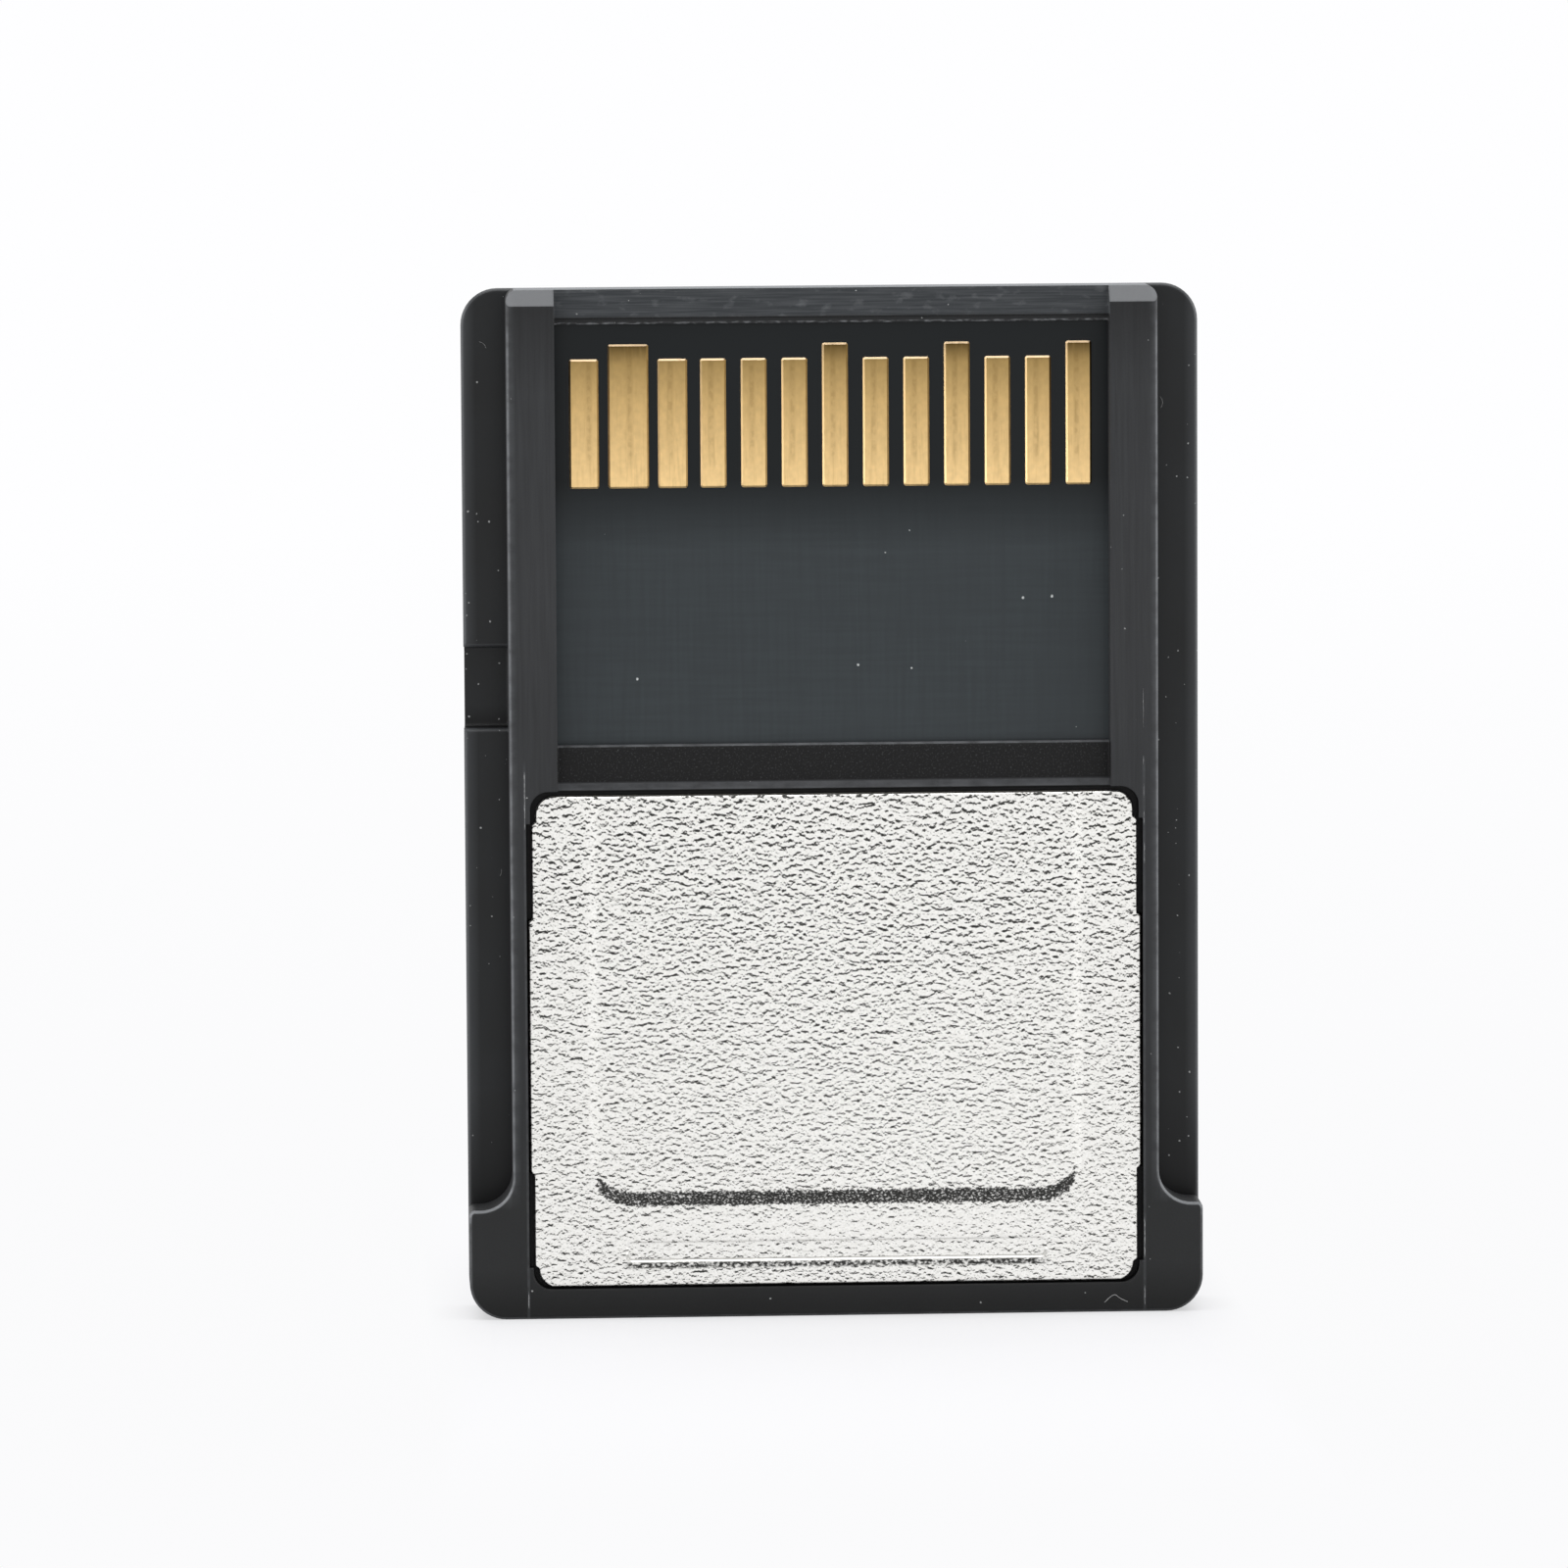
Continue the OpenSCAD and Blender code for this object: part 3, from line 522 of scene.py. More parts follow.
@dataclass(frozen=True)
class WrinkledSteel:
    """Nickel-plated steel sheet rolled with a leather-like wrinkle. Sizes in millimetres.

    The eye gets a bright warm white metal broken by short dark creases that run across the card,
    painted shade on the down-facing sides of its folds, and a dark rough band of painted shade
    where the embossed step turns down.
    """

    name: str = "wrinkle_textured_nickel_plated_steel"
    bright: str = "#FDFCF9"
    ground: str = "#EEEDE8"
    shaded: str = "#A6A5A1"
    slope_painted_shade: str = "#B9B8B4"
    # Painted shade: the near black of the creases
    crease: str = "#141413"
    fold_w: float = 0.17
    fold_h: float = 0.12
    line_h: tuple[float, float] = (0.031, 0.05)
    folds: float = 7.0
    grit_mm: float = 0.045
    rag_w: float = 0.11
    rag_h: float = 0.09
    thicker_z: tuple[float, float] = (6.0, 13.5)
    denser_z: tuple[float, float] = (1.0, 13.0)
    ironed_half_w: float = 4.8
    ironed_z: tuple[float, float] = (1.85, 2.75)
    column_x: tuple[float, float] = (6.5, 6.72)
    column_z: tuple[float, float] = (4.2, 13.2)
    taper_z: tuple[float, float] = (3.4, 3.8)
    fringe_z: tuple[float, float] = (1.38, 1.49)
    fringe_half_w: float = 5.6
    brow_z: tuple[float, float] = (1.58, 1.72)

    def ironed(self, s: Surface) -> Socket:
        """Where the press has ironed the creases out: over the strip and up the field's sides.

        Args:
            s: The surface.

        Returns:
            The mask's socket.
        """
        patch = s.overlap(
            s.between(s.z, *self.ironed_z, 0.25),
            s.within(self.ironed_half_w, 2.0),
        )
        column = s.overlap(
            s.between(s.off_centre, *self.column_x, 0.1), s.between(s.z, *self.column_z, 0.6)
        )
        return add(s.tree, "Math", {0: patch, 1: column}, operation="MAXIMUM")

    def band(self, s: Surface, edge: Socket, grit: Socket) -> Socket:
        """The step down, painted shade all over, broken by pale specks of the grit pattern, and
        ragged along its edges.

        Args:
            s: The surface.
            edge: The pattern of its ragged edges.
            grit: The pattern of its grit.

        Returns:
            The mask's socket.
        """
        down = add(s.tree, "Attribute", {}, "Fac", attribute_name="turned_down")
        ragged = add(s.tree, "Math", {0: edge, 1: 0.5}, operation="SUBTRACT")
        level = add(s.tree, "Math", {0: ragged, 1: 1.7, 2: down}, operation="MULTIPLY_ADD")
        low, high = self.taper_z
        taper = add(s.tree, "MapRange", {0: s.z, 1: low, 2: high, 3: 0.0, 4: 0.12})
        level = add(s.tree, "Math", {0: level, 1: taper}, operation="SUBTRACT")
        dark = add(s.tree, "MapRange", {0: level, 1: 0.38, 2: 0.58, 3: 0.0, 4: 0.95})
        dull = add(s.tree, "MapRange", {0: grit, 1: 0.53, 2: 0.7, 3: 1.0, 4: 0.15})
        return s.overlap(dark, dull)

    def material(self) -> bpy.types.Material:
        """Builds the metal with a crease of painted shade wherever a fold turns down.

        Returns:
            The finished material.
        """
        s = Surface(self.name)
        size = (self.fold_w, self.fold_w, self.fold_h)
        here = s.mottle(size, 2.6)
        # Creases are thicker towards the top of the plate
        (low, high), (thin, thick) = self.thicker_z, self.line_h
        line_h = add(s.tree, "MapRange", {0: s.z, 1: low, 2: high, 3: thin, 4: thick})
        above = s.mottle(size, 2.6, add(s.tree, "CombineXYZ", {2: line_h}))
        rise = add(s.tree, "Math", {0: above, 1: here}, operation="SUBTRACT")
        # A crease of painted shade is drawn just under each fold's edge, line_h thick where it runs
        # level
        step_here = add(s.tree, "Math", {0: s.overlap(here, self.folds)}, operation="FLOOR")
        step_above = add(s.tree, "Math", {0: s.overlap(above, self.folds)}, operation="FLOOR")
        steps = {0: step_above, 1: step_here}
        fold = add(s.tree, "Math", steps, operation="SUBTRACT", use_clamp=True)
        # A fold has to rise more than "weak" to show, which fewer do in patches and near the grip
        low, high = self.denser_z
        weak = add(s.tree, "MapRange", {0: s.z, 1: low, 2: high, 3: 0.018, 4: 0.012})
        patches = s.mottle((2.4, 2.4, 1.8), 2.0)
        uneven = add(s.tree, "MapRange", {0: patches, 1: 0.3, 2: 0.7, 3: 0.014, 4: -0.012})
        weak = add(s.tree, "Math", {0: weak, 1: uneven}, operation="ADD")
        ironed = self.ironed(s)
        weak = add(s.tree, "Math", {0: ironed, 1: 0.025, 2: weak}, operation="MULTIPLY_ADD")
        strong = add(s.tree, "Math", {0: weak, 1: 0.09}, operation="ADD")
        depth = add(s.tree, "MapRange", {0: rise, 1: weak, 2: strong, 3: 0.0, 4: 0.92})
        grit = s.mottle((self.grit_mm * 1.4, self.grit_mm, self.grit_mm), 3.0)
        edge = s.mottle((self.rag_w, self.rag_w, self.rag_h), 3.0)
        creases = {0: s.overlap(fold, depth), 1: self.band(s, edge, grit)}
        crease = add(s.tree, "Math", creases, operation="MAXIMUM")
        # The strip's lit slope and the sheet's cut edges are smooth
        upward = add(s.tree, "Attribute", {}, "Fac", attribute_name="turned_up")
        kept = add(s.tree, "Math", {0: 1.0, 1: upward}, operation="SUBTRACT")
        kept = s.overlap(kept, s.between(s.facing()[1], -1.0, -0.5, 0.15))
        # A ragged fringe of painted shade lies under the sunk strip
        fringe = s.overlap(
            s.between(s.z, *self.fringe_z, 0.06),
            s.within(self.fringe_half_w, 0.2),
            add(s.tree, "MapRange", {0: edge, 1: 0.38, 2: 0.56, 3: 0.1, 4: 0.95}),
        )
        dark = {0: s.overlap(crease, kept), 1: fringe}
        crease = add(s.tree, "Math", dark, operation="MAXIMUM")
        # Beside a crease the fold is shaded more softly
        soft = add(s.tree, "MapRange", {0: rise, 1: 0.01, 2: 0.09, 3: 0.0, 4: 0.75})
        spared = add(s.tree, "MapRange", {0: ironed, 1: 0.0, 2: 1.0, 3: 1.0, 4: 0.4})
        # Painted glints: where the grit pattern is high the metal is painted brighter
        sparkle = add(s.tree, "MapRange", {0: grit, 1: 0.35, 2: 0.65, 3: 0.0, 4: 1.0})
        colour = s.painted(
            self.ground,
            (sparkle, self.bright),
            # Painted shade on the upper part of the strip's slope leaves only its foot gleaming
            (s.overlap(upward, s.between(s.z, *self.brow_z, 0.03)), self.slope_painted_shade),
            (s.overlap(soft, spared, kept), self.shaded),
            (crease, self.crease),
        )
        rough = add(s.tree, "MapRange", {0: here, 1: 0.3, 2: 0.7, 3: 0.3, 4: 0.42})
        bump = add(s.tree, "Bump", {"Height": here, "Strength": 0.3, "Distance": 0.02 * MM})
        return s.close(Base_Color=colour, Metallic=1.0, Roughness=rough, Normal=bump)


@dataclass(frozen=True)
class GoldPlating:
    """Hard gold over nickel on copper pads. Sizes in millimetres.

    The eye gets a warm yellow metal, darker and browner near the contact end, which is painted
    shade, with the faint wipe of the reader's springs down each pad and painted highlights on its
    bevels.
    """

    name: str = "hard_gold_plating"
    low: str = "#F6D397"
    middle: str = "#D0AF76"
    high: str = "#A98D5A"
    top_painted_shade: str = "#5B4828"
    # One colour for the painted highlights on the bevels and for specks of dust
    highlight_and_dust: str = "#FBDDB4"
    # One colour for the wipe marks and for the right bevel's painted shade
    wipe_and_painted_shade: str = "#6E5730"
    pads_z: tuple[float, float, float, float] = (22.6, 24.9, 25.95, 26.46)
    pitch: float = 1.1
    wipe_x: float = -4.36
    wipe_w: float = 0.07
    wipe_z: tuple[float, float] = (23.5, 26.2)

    def material(self) -> bpy.types.Material:
        """Builds the gold with its painted shade, its wipe marks and its painted edge highlights.

        Returns:
            The finished material.
        """
        s = Surface(self.name)
        body = self.low
        # The pads turn darker and browner towards the contact end, which is painted shade
        hues = (self.middle, self.high, self.top_painted_shade)
        for low, high, hue in zip(self.pads_z, self.pads_z[1:], hues):
            share = add(s.tree, "MapRange", {0: s.z, 1: low, 2: high, 3: 0.0, 4: 1.0})
            body = s.painted(body, (share, hue))
        marks = s.mottle((0.07, 1.0, 0.9), 3.0)
        blots = s.mottle((0.16, 1.0, 0.2), 4.0)
        streak = add(s.tree, "MapRange", {0: marks, 1: 0.5, 2: 0.8, 3: 0.0, 4: 0.3})
        stain = add(s.tree, "MapRange", {0: blots, 1: 0.3, 2: 0.7, 3: 0.93, 4: 1.07})
        streaked = s.painted(body, (streak, self.high))
        body = add(s.tree, "HueSaturation", {"Color": streaked, "Value": stain})
        # The reader's springs wipe every pad a little left of its middle
        beside = add(s.tree, "Math", {0: s.x, 1: self.wipe_x}, operation="SUBTRACT")
        beside = add(s.tree, "Math", {0: beside, 1: self.pitch / 2}, operation="PINGPONG")
        wipe = s.overlap(
            s.between(beside, 0.0, self.wipe_w / 2, self.wipe_w),
            s.between(s.z, *self.wipe_z, 0.4),
            add(s.tree, "MapRange", {0: blots, 1: 0.4, 2: 0.6, 3: 0.05, 4: 0.32}),
        )
        # The bevels get painted highlights: the upper and left ones are painted lit, and the right
        # one is painted dim, which is painted shade
        right, _, up = s.facing()
        left = s.overlap(s.between(right, -1.0, -0.4, 0.1), 0.25)
        lit = {0: s.between(up, 0.4, 1.0, 0.1), 1: left}
        lit = add(s.tree, "Math", lit, operation="MAXIMUM")
        body = s.painted(
            body,
            (wipe, self.wipe_and_painted_shade),
            (s.specks(0.6, 0.03, 0.35), self.highlight_and_dust),
            (lit, self.highlight_and_dust),
            (s.overlap(s.between(right, 0.4, 1.0, 0.1), 0.75), self.wipe_and_painted_shade),
        )
        rough = add(s.tree, "MapRange", {0: blots, 1: 0.3, 2: 0.7, 3: 0.3, 4: 0.42})
        bump = add(s.tree, "Bump", {"Height": marks, "Strength": 0.1, "Distance": 0.004 * MM})
        return s.close(Base_Color=body, Metallic=1.0, Roughness=rough, Normal=bump)


@dataclass(frozen=True)
class SolderMask:
    """Black solder mask over glass-cloth laminate. Sizes in millimetres.

    The eye gets a cool grey-black, darker among the contacts, which is painted shade, with a faint
    cross weave and specks.
    """

    name: str = "black_solder_mask"
    body: str = "#2F3437"
    weave: str = "#353B3E"
    among_pads_painted_shade: str = "#070D10"
    dust: str = "#C0C4C4"
    pads_z: tuple[float, float] = (20.9, 22.8)
    thread_mm: float = 0.12
    thread_run: float = 2.6

    def material(self) -> bpy.types.Material:
        """Builds the mask with its weave and dust.

        Returns:
            The finished material.
        """
        s = Surface(self.name)
        weft = s.mottle((self.thread_run, 1.0, self.thread_mm), 2.0)
        warp = s.mottle((self.thread_mm, 1.0, self.thread_run), 2.0)
        cloth = add(s.tree, "Math", {0: weft, 1: warp}, operation="ADD")
        share = add(s.tree, "MapRange", {0: cloth, 1: 0.8, 2: 1.25, 3: 0.0, 4: 1.0})
        clouds = s.mottle((3.0, 1.0, 3.0), 2.0)
        low, high = self.pads_z
        pads = add(s.tree, "MapRange", {0: s.z, 1: low, 2: high, 3: 0.0, 4: 1.0})
        colour = s.painted(
            self.body,
            (s.overlap(share, clouds), self.weave),
            # Painted shade: the mask is darker among the contacts
            (pads, self.among_pads_painted_shade),
            (s.specks(0.75, 0.05, 0.3), self.dust),
        )
        rough = add(s.tree, "MapRange", {0: clouds, 1: 0.3, 2: 0.7, 3: 0.38, 4: 0.5})
        bump = add(s.tree, "Bump", {"Height": cloth, "Strength": 0.12, "Distance": 0.004 * MM})
        return s.close(
            Base_Color=colour, Roughness=rough, Normal=bump, IOR=1.5, Specular_IOR_Level=0.25
        )


@dataclass(frozen=True)
class GrainedSolid:
    """A plain solid that the shells hide, told by its grain and its gloss.

    Grains finer than about 0.04 mm are drawn at that size, so that they show.
    """

    name: str
    body: str
    fleck: str
    grain_mm: float
    roughness: float
    metallic: float = 0.0

    def material(self) -> bpy.types.Material:
        """Builds the solid's grain.

        Returns:
            The finished material.
        """
        s = Surface(self.name)
        grain = s.mottle((self.grain_mm,) * 3, 3.0)
        share = add(s.tree, "MapRange", {0: grain, 1: 0.4, 2: 0.7, 3: 0.0, 4: 1.0})
        bump = add(s.tree, "Bump", {"Height": grain, "Strength": 0.3, "Distance": 0.01 * MM})
        low, high = self.roughness - 0.08, self.roughness + 0.08
        rough = add(s.tree, "MapRange", {0: grain, 3: low, 4: high})
        return s.close(
            Base_Color=s.painted(self.body, (share, self.fleck)),
            Metallic=self.metallic,
            Roughness=rough,
            Normal=bump,
        )


class Inside(Enum):
    """The finish of each piece that the shells hide, by its node in the frame."""

    # A cloudy straw-coloured film
    adhesive_film = GrainedSolid("acrylic_adhesive_film", "#D8CFAE", "#E6DEC4", 0.3, 0.5)
    # Black moulded packages with a fine matt grain
    flash_memory_chip = GrainedSolid("epoxy_moulding_compound", "#1C1C1E", "#2C2C2E", 0.06, 0.6)
    controller_chip = GrainedSolid("epoxy_moulding_compound_fine", "#202024", "#303034", 0.05, 0.5)
    power_chip = GrainedSolid("epoxy_moulding_compound_dull", "#232327", "#333338", 0.05, 0.65)
    # Pressed powder, grey-brown and gritty
    power_inductors = GrainedSolid("pressed_iron_powder", "#4F4B48", "#6A6663", 0.08, 0.7)
    # A drawn can, a pale warm metal
    crystal_oscillator = GrainedSolid(
        "drawn_nickel_silver_can", "#C6C5BE", "#DAD9D3", 0.1, 0.3, 1.0
    )
    # Fired ceramic, brown and matt
    bulk_capacitors = GrainedSolid("fired_barium_titanate", "#A68A64", "#B79C77", 0.05, 0.5)
    small_capacitors = GrainedSolid("fired_barium_titanate_small", "#B4946A", "#C4A67F", 0.04, 0.5)
    # Glazed film, black and shiny
    small_resistors = GrainedSolid("glazed_thick_film_resistor", "#1F1F22", "#34343A", 0.04, 0.35)
    # Filled rubber, blue-grey and chalky
    flash_thermal_pad = GrainedSolid("filled_silicone_rubber", "#8393A2", "#9DACB9", 0.08, 0.85)
    controller_thermal_pad = GrainedSolid(
        "filled_silicone_rubber_soft", "#8595A4", "#A0AFBC", 0.08, 0.85
    )
    plate_thermal_pad = GrainedSolid(
        "filled_silicone_rubber_thin", "#8797A6", "#A2B1BE", 0.08, 0.85
    )


def dress(piece: bpy.types.Object, material: bpy.types.Material) -> None:
    """Gives a piece one finish all over.

    Args:
        piece: A node of the frame or a new piece.
        material: Its finish.
    """
    piece.data.materials.clear()
    piece.data.materials.append(material)
    log.info("%s dressed in %s", piece.name, material.name)


def place(name: str, data: bpy.types.ID) -> bpy.types.Object:
    """Makes an object and links it to the scene.

    Args:
        name: The object's name.
        data: Its mesh, curve, light or camera.

    Returns:
        The new object.
    """
    thing = bpy.data.objects.new(name, data)
    bpy.context.scene.collection.objects.link(thing)
    return thing


def mesh_from(name: str, bm: bmesh.types.BMesh) -> bpy.types.Mesh:
    """Turns a finished bmesh into a mesh, and frees it.

    Args:
        name: The mesh's name.
        bm: The bmesh.

    Returns:
        The new mesh.
    """
    mesh = bpy.data.meshes.new(name)
    bm.to_mesh(mesh)
    bm.free()
    return mesh


def stops(*spans: tuple[float, float, float]) -> list[float]:
    """Grid stops along touching spans.

    Args:
        *spans: Each span's start, end and rough step.

    Returns:
        The stops in order, with each one once.
    """
    found = [spans[0][0]]
    for start, end, step in spans:
        count = max(1, round((end - start) / step))
        found += [start + (end - start) * (i + 1) / count for i in range(count)]
    return found


def ramp(value: float, low: float, high: float) -> float:
    """A smooth step from 0 at low to 1 at high."""
    t = min(1.0, max(0.0, (value - low) / (high - low)))
    return t * t * (3 - 2 * t)


@dataclass(frozen=True)
class RearPlate:
    """The punched and embossed steel plate, with rounded edges and soft steps, in millimetres."""

    narrow_half_w: float = 8.11
    middle_half_w: float = 8.22
    wide_half_w: float = 8.32
    low: float = 0.87
    high: float = 14.29
    corner_r: float = 0.5
    low_corner_h: float = 0.6
    top_corner_h: float = 0.78
    tabs_z: tuple[float, float] = (4.04, 10.86)
    border_y: float = -1.30
    face_y: float = -1.40
    sheet_t: float = 0.2
    edge_r: float = 0.06
    edge_stops: tuple[float, ...] = (0.0, 0.008, 0.02, 0.038, 0.06)
    step_blend: float = 0.09
    field_half_w: float = 6.76
    field_low: float = 3.07
    field_r: float = 1.2
    slope: float = 0.36
    strip_half_w: float = 5.75
    strip_z: tuple[float, float] = (1.51, 2.11)
    strip_r: float = 0.2
    strip_d: float = 0.05
    strip_wall: float = 0.08
    curl: tuple[float, float] = (0.35, 0.85)
    fringe_dark: float = 0.42
    brow_dark: float = 0.16
    fixed_half_w: float = 7.3
    # Parts of the grid by height and by place across: start, end and spacing of the lines
    row_spans: tuple[Point, ...] = (
        (1.42, 2.2, 0.02),
        (2.2, 2.9, 0.14),
        (2.9, 3.6, 0.03),
        (3.6, 4.5, 0.05),
        (4.5, 10.7, 0.4),
        (10.7, 11.0, 0.03),
        (11.0, 13.4, 0.3),
    )
    end_steps: tuple[float, float] = (0.045, 0.03)
    column_spans: tuple[Point, ...] = ((0.0, 5.4, 0.35), (5.4, 6.84, 0.04), (6.84, 7.3, 0.15))
    side_shares: tuple[float, ...] = (
        0.25, 0.45, 0.6, 0.72, 0.82, 0.88, 0.92, 0.95, 0.97, 0.985, 0.995, 1.0
    )

    def half_width(self, z: float) -> float:
        """How far the outline reaches from the middle at a height.

        Args:
            z: The height.

        Returns:
            Half the plate's width there.
        """
        r = self.corner_r
        end = min(z - self.low, self.high - z)
        arc = self.narrow_half_w - r + math.sqrt(max(0.0, r * r - max(0.0, r - end) ** 2))
        low, high = self.low + self.low_corner_h, self.high - self.top_corner_h
        blend = self.step_blend
        middle = ramp(z, low - blend, low) * (1 - ramp(z, high, high + blend))
        tabs = ramp(z, self.tabs_z[0] - blend, self.tabs_z[0]) * (
            1 - ramp(z, self.tabs_z[1], self.tabs_z[1] + blend)
        )
        reach = arc + (self.middle_half_w - self.narrow_half_w) * middle
        return reach + (self.wide_half_w - self.middle_half_w) * tabs

    @staticmethod
    def depth_in(x: float, z: float, half_w: float, low: float, high: float, r: float) -> float:
        """How deep a point lies inside a rounded rectangle.

        Args:
            x: The point's place across.
            z: The point's height.
            half_w: Half the rectangle's width.
            low: Its lower edge.
            high: Its upper edge.
            r: Its corner radius.

        Returns:
            The distance to its outline, negative outside.
        """
        across = abs(x) - (half_w - r)
        along = abs(z - (low + high) / 2) - ((high - low) / 2 - r)
        outside = math.hypot(max(across, 0.0), max(along, 0.0))
        return r - outside - min(max(across, along), 0.0)

    def field_depth(self, x: float, z: float) -> float:
        """How deep a point lies inside the raised field, which runs out over the plate's top."""
        return self.depth_in(x, z, self.field_half_w, self.field_low, self.high + 9, self.field_r)

    def strip_depth(self, x: float, z: float) -> float:
        """How deep a point lies inside the sunk strip."""
        return self.depth_in(x, z, self.strip_half_w, *self.strip_z, self.strip_r)

    def rise(self, x: float, z: float) -> float:
        """The sheet's height over its border, before its edges are rounded.

        Args:
            x: The point's place across.
            z: The point's height.

        Returns:
            The height, positive towards the viewer.
        """
        share = min(1.0, max(0.0, self.field_depth(x, z) / self.slope))
        field = (self.border_y - self.face_y) * (0.5 * share + 0.5 * ramp(share, 0, 1))
        sunk = self.strip_d * ramp(self.strip_depth(x, z), 0.0, self.strip_wall)
        return field - sunk

    def edge_drop(self, x: float, z: float) -> float:
        """How far the rounded edge falls back at a point.

        Args:
            x: The point's place across.
            z: The point's height.

        Returns:
            The drop, positive away from the viewer.
        """
        r = self.edge_r
        inside = min(self.half_width(z) - abs(x), z - self.low, self.high - z)
        return r - math.sqrt(max(0.0, r * r - max(0.0, r - inside) ** 2))

    def turned_down(self, x: float, z: float) -> float:
        """How strongly a point belongs to a step that turns down, from 0 to 1.

        Args:
            x: The point's place across.
            z: The point's height.

        Returns:
            The share of painted shade that such a step gets.
        """
        near = 0.01
        depth = self.field_depth(x, z)
        steep = (self.field_depth(x, z + near) - depth) / near
        # The band of painted shade thins out where it curls up at its ends
        thin = 0.15 * ramp(z, *(self.field_low + up for up in self.curl))
        band = ramp(depth, thin - 0.10, thin + 0.12)
        band *= 1 - ramp(depth, self.slope - thin - 0.12, self.slope - thin + 0.2)
        step = band * ramp(steep, 0.0, 0.32)
        # A fringe of painted shade hangs under the strip, and a faint line of it lies along its
        # upper wall
        inside = self.strip_depth(x, z)
        below = ramp(self.strip_z[0] - z, -0.02, 0.02) * (1 - ramp(-inside, 0.05, 0.2))
        ends = 1 - ramp(abs(x), self.strip_half_w - 0.3, self.strip_half_w)
        line = ramp(inside, 0.0, 0.03) * (1 - ramp(inside, 0.05, 0.1))
        upper = z > self.strip_z[1] - 0.26
        return max(step, self.fringe_dark * below * ends, self.brow_dark * line * upper)

    def turned_up(self, x: float, z: float) -> float:
        """How strongly a point belongs to a step that turns up, from 0 to 1.

        Args:
            x: The point's place across.
            z: The point's height.

        Returns:
            The share of light that such a step gets.
        """
        if z > sum(self.strip_z) / 2:
            return 0.0
        inside, wall = self.strip_depth(x, z), self.strip_wall
        return ramp(inside, -0.02, 0.01) * (1 - ramp(inside, wall, wall + 0.03))

    def rows(self) -> list[float]:
        """The grid's heights, close together where the outline or the relief turns.

        Returns:
            The heights, from the plate's lower edge to its upper one.
        """
        edge = self.edge_stops
        first = (self.low + edge[-1], self.row_spans[0][0], self.end_steps[0])
        last = (self.row_spans[-1][1], self.high - edge[-1], self.end_steps[1])
        middle = stops(first, *self.row_spans, last)
        top = [self.high - e for e in reversed(edge)]
        return [self.low + e for e in edge] + middle[1:-1] + top

    def columns(self) -> list[float]:
        """The grid's places across, which across() turns to places at each height.

        Returns:
            Fixed places up to fixed_half_w, then shares of what is left, kept apart by adding 1.
        """
        right = stops(*self.column_spans)
        right += [self.fixed_half_w + 1 + share for share in self.side_shares]
        return [-c for c in reversed(right[1:])] + right

    def across(self, column: float, z: float) -> float:
        """The place of a grid column at a height.

        Args:
            column: The column, as columns() gives it.
            z: The height.

        Returns:
            The place across.
        """
        side, size = math.copysign(1.0, column), abs(column)
        if size <= self.fixed_half_w:
            return column
        share = size - self.fixed_half_w - 1
        return side * (self.fixed_half_w + share * (self.half_width(z) - self.fixed_half_w))

    def build(self) -> bpy.types.Object:
        """Builds the plate and puts it in the place of the frame's plain one.

        Returns:
            The plate.
        """
        bm = bmesh.new()
        down = bm.verts.layers.float.new("turned_down")
        up = bm.verts.layers.float.new("turned_up")
        grid = []
        for z in self.rows():
            line = []
            for column in self.columns():
                x = self.across(column, z)
                y = self.border_y - self.rise(x, z) + self.edge_drop(x, z)
                vert = bm.verts.new((x * MM, y * MM, z * MM))
                vert[down], vert[up] = self.turned_down(x, z), self.turned_up(x, z)
                line.append(vert)
            grid.append(line)
        for low, high in zip(grid, grid[1:]):
            for i in range(len(low) - 1):
                bm.faces.new((low[i], low[i + 1], high[i + 1], high[i]))
        # The rim in order: along the bottom, up the right side, back along the top, down the left
        rim = grid[0] + [line[-1] for line in grid[1:-1]]
        rim += grid[-1][::-1] + [line[0] for line in grid[-2:0:-1]]
        back = []
        for vert in rim:
            behind = bm.verts.new((vert.co.x, (self.border_y + self.sheet_t) * MM, vert.co.z))
            behind[down], behind[up] = vert[down], vert[up]
            back.append(behind)
        for i in range(len(rim)):
            bm.faces.new((rim[i - 1], rim[i], back[i], back[i - 1]))
        bm.faces.new(back)
        bmesh.ops.recalc_face_normals(bm, faces=bm.faces)
        mesh = mesh_from("embossed_plate", bm)
        mesh.polygons.foreach_set("use_smooth", [len(p.vertices) == 4 for p in mesh.polygons])
        plate = place("embossed_plate", mesh)
        dress(plate, WrinkledSteel().material())
        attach(plate, "root")
        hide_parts("rear_plate")
        return plate


@dataclass(frozen=True)
class Shells:
    """The two halves of the moulded body."""

    satin: SatinPolymer = SatinPolymer()
    gloss: GlossPolymer = GlossPolymer()

    def build(self) -> None:
        """Dresses both halves."""
        dress(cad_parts["contact_side_shell"], self.satin.material())
        dress(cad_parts["label_side_shell"], self.gloss.material())


@dataclass(frozen=True)
class Board:
    """The circuit board, its gold contacts and all that the shells hide."""

    contacts: int = 13
    gold: GoldPlating = GoldPlating()
    mask: SolderMask = SolderMask()

    def build(self) -> None:
        """Dresses the board, the contacts and the hidden pieces."""
        gold = self.gold.material()
        for number in range(1, self.contacts + 1):
            dress(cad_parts[f"contact_{number:02d}"], gold)
        dress(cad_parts["circuit_board"], self.mask.material())
        for piece in Inside:
            dress(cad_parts[piece.name], piece.value.material())


@dataclass(frozen=True)
class Fibre:
    """One strand of lint on a face: points across and up, the face and a radius, in millimetres."""

    points: tuple[tuple[float, float], ...]
    face_y: float
    radius: float


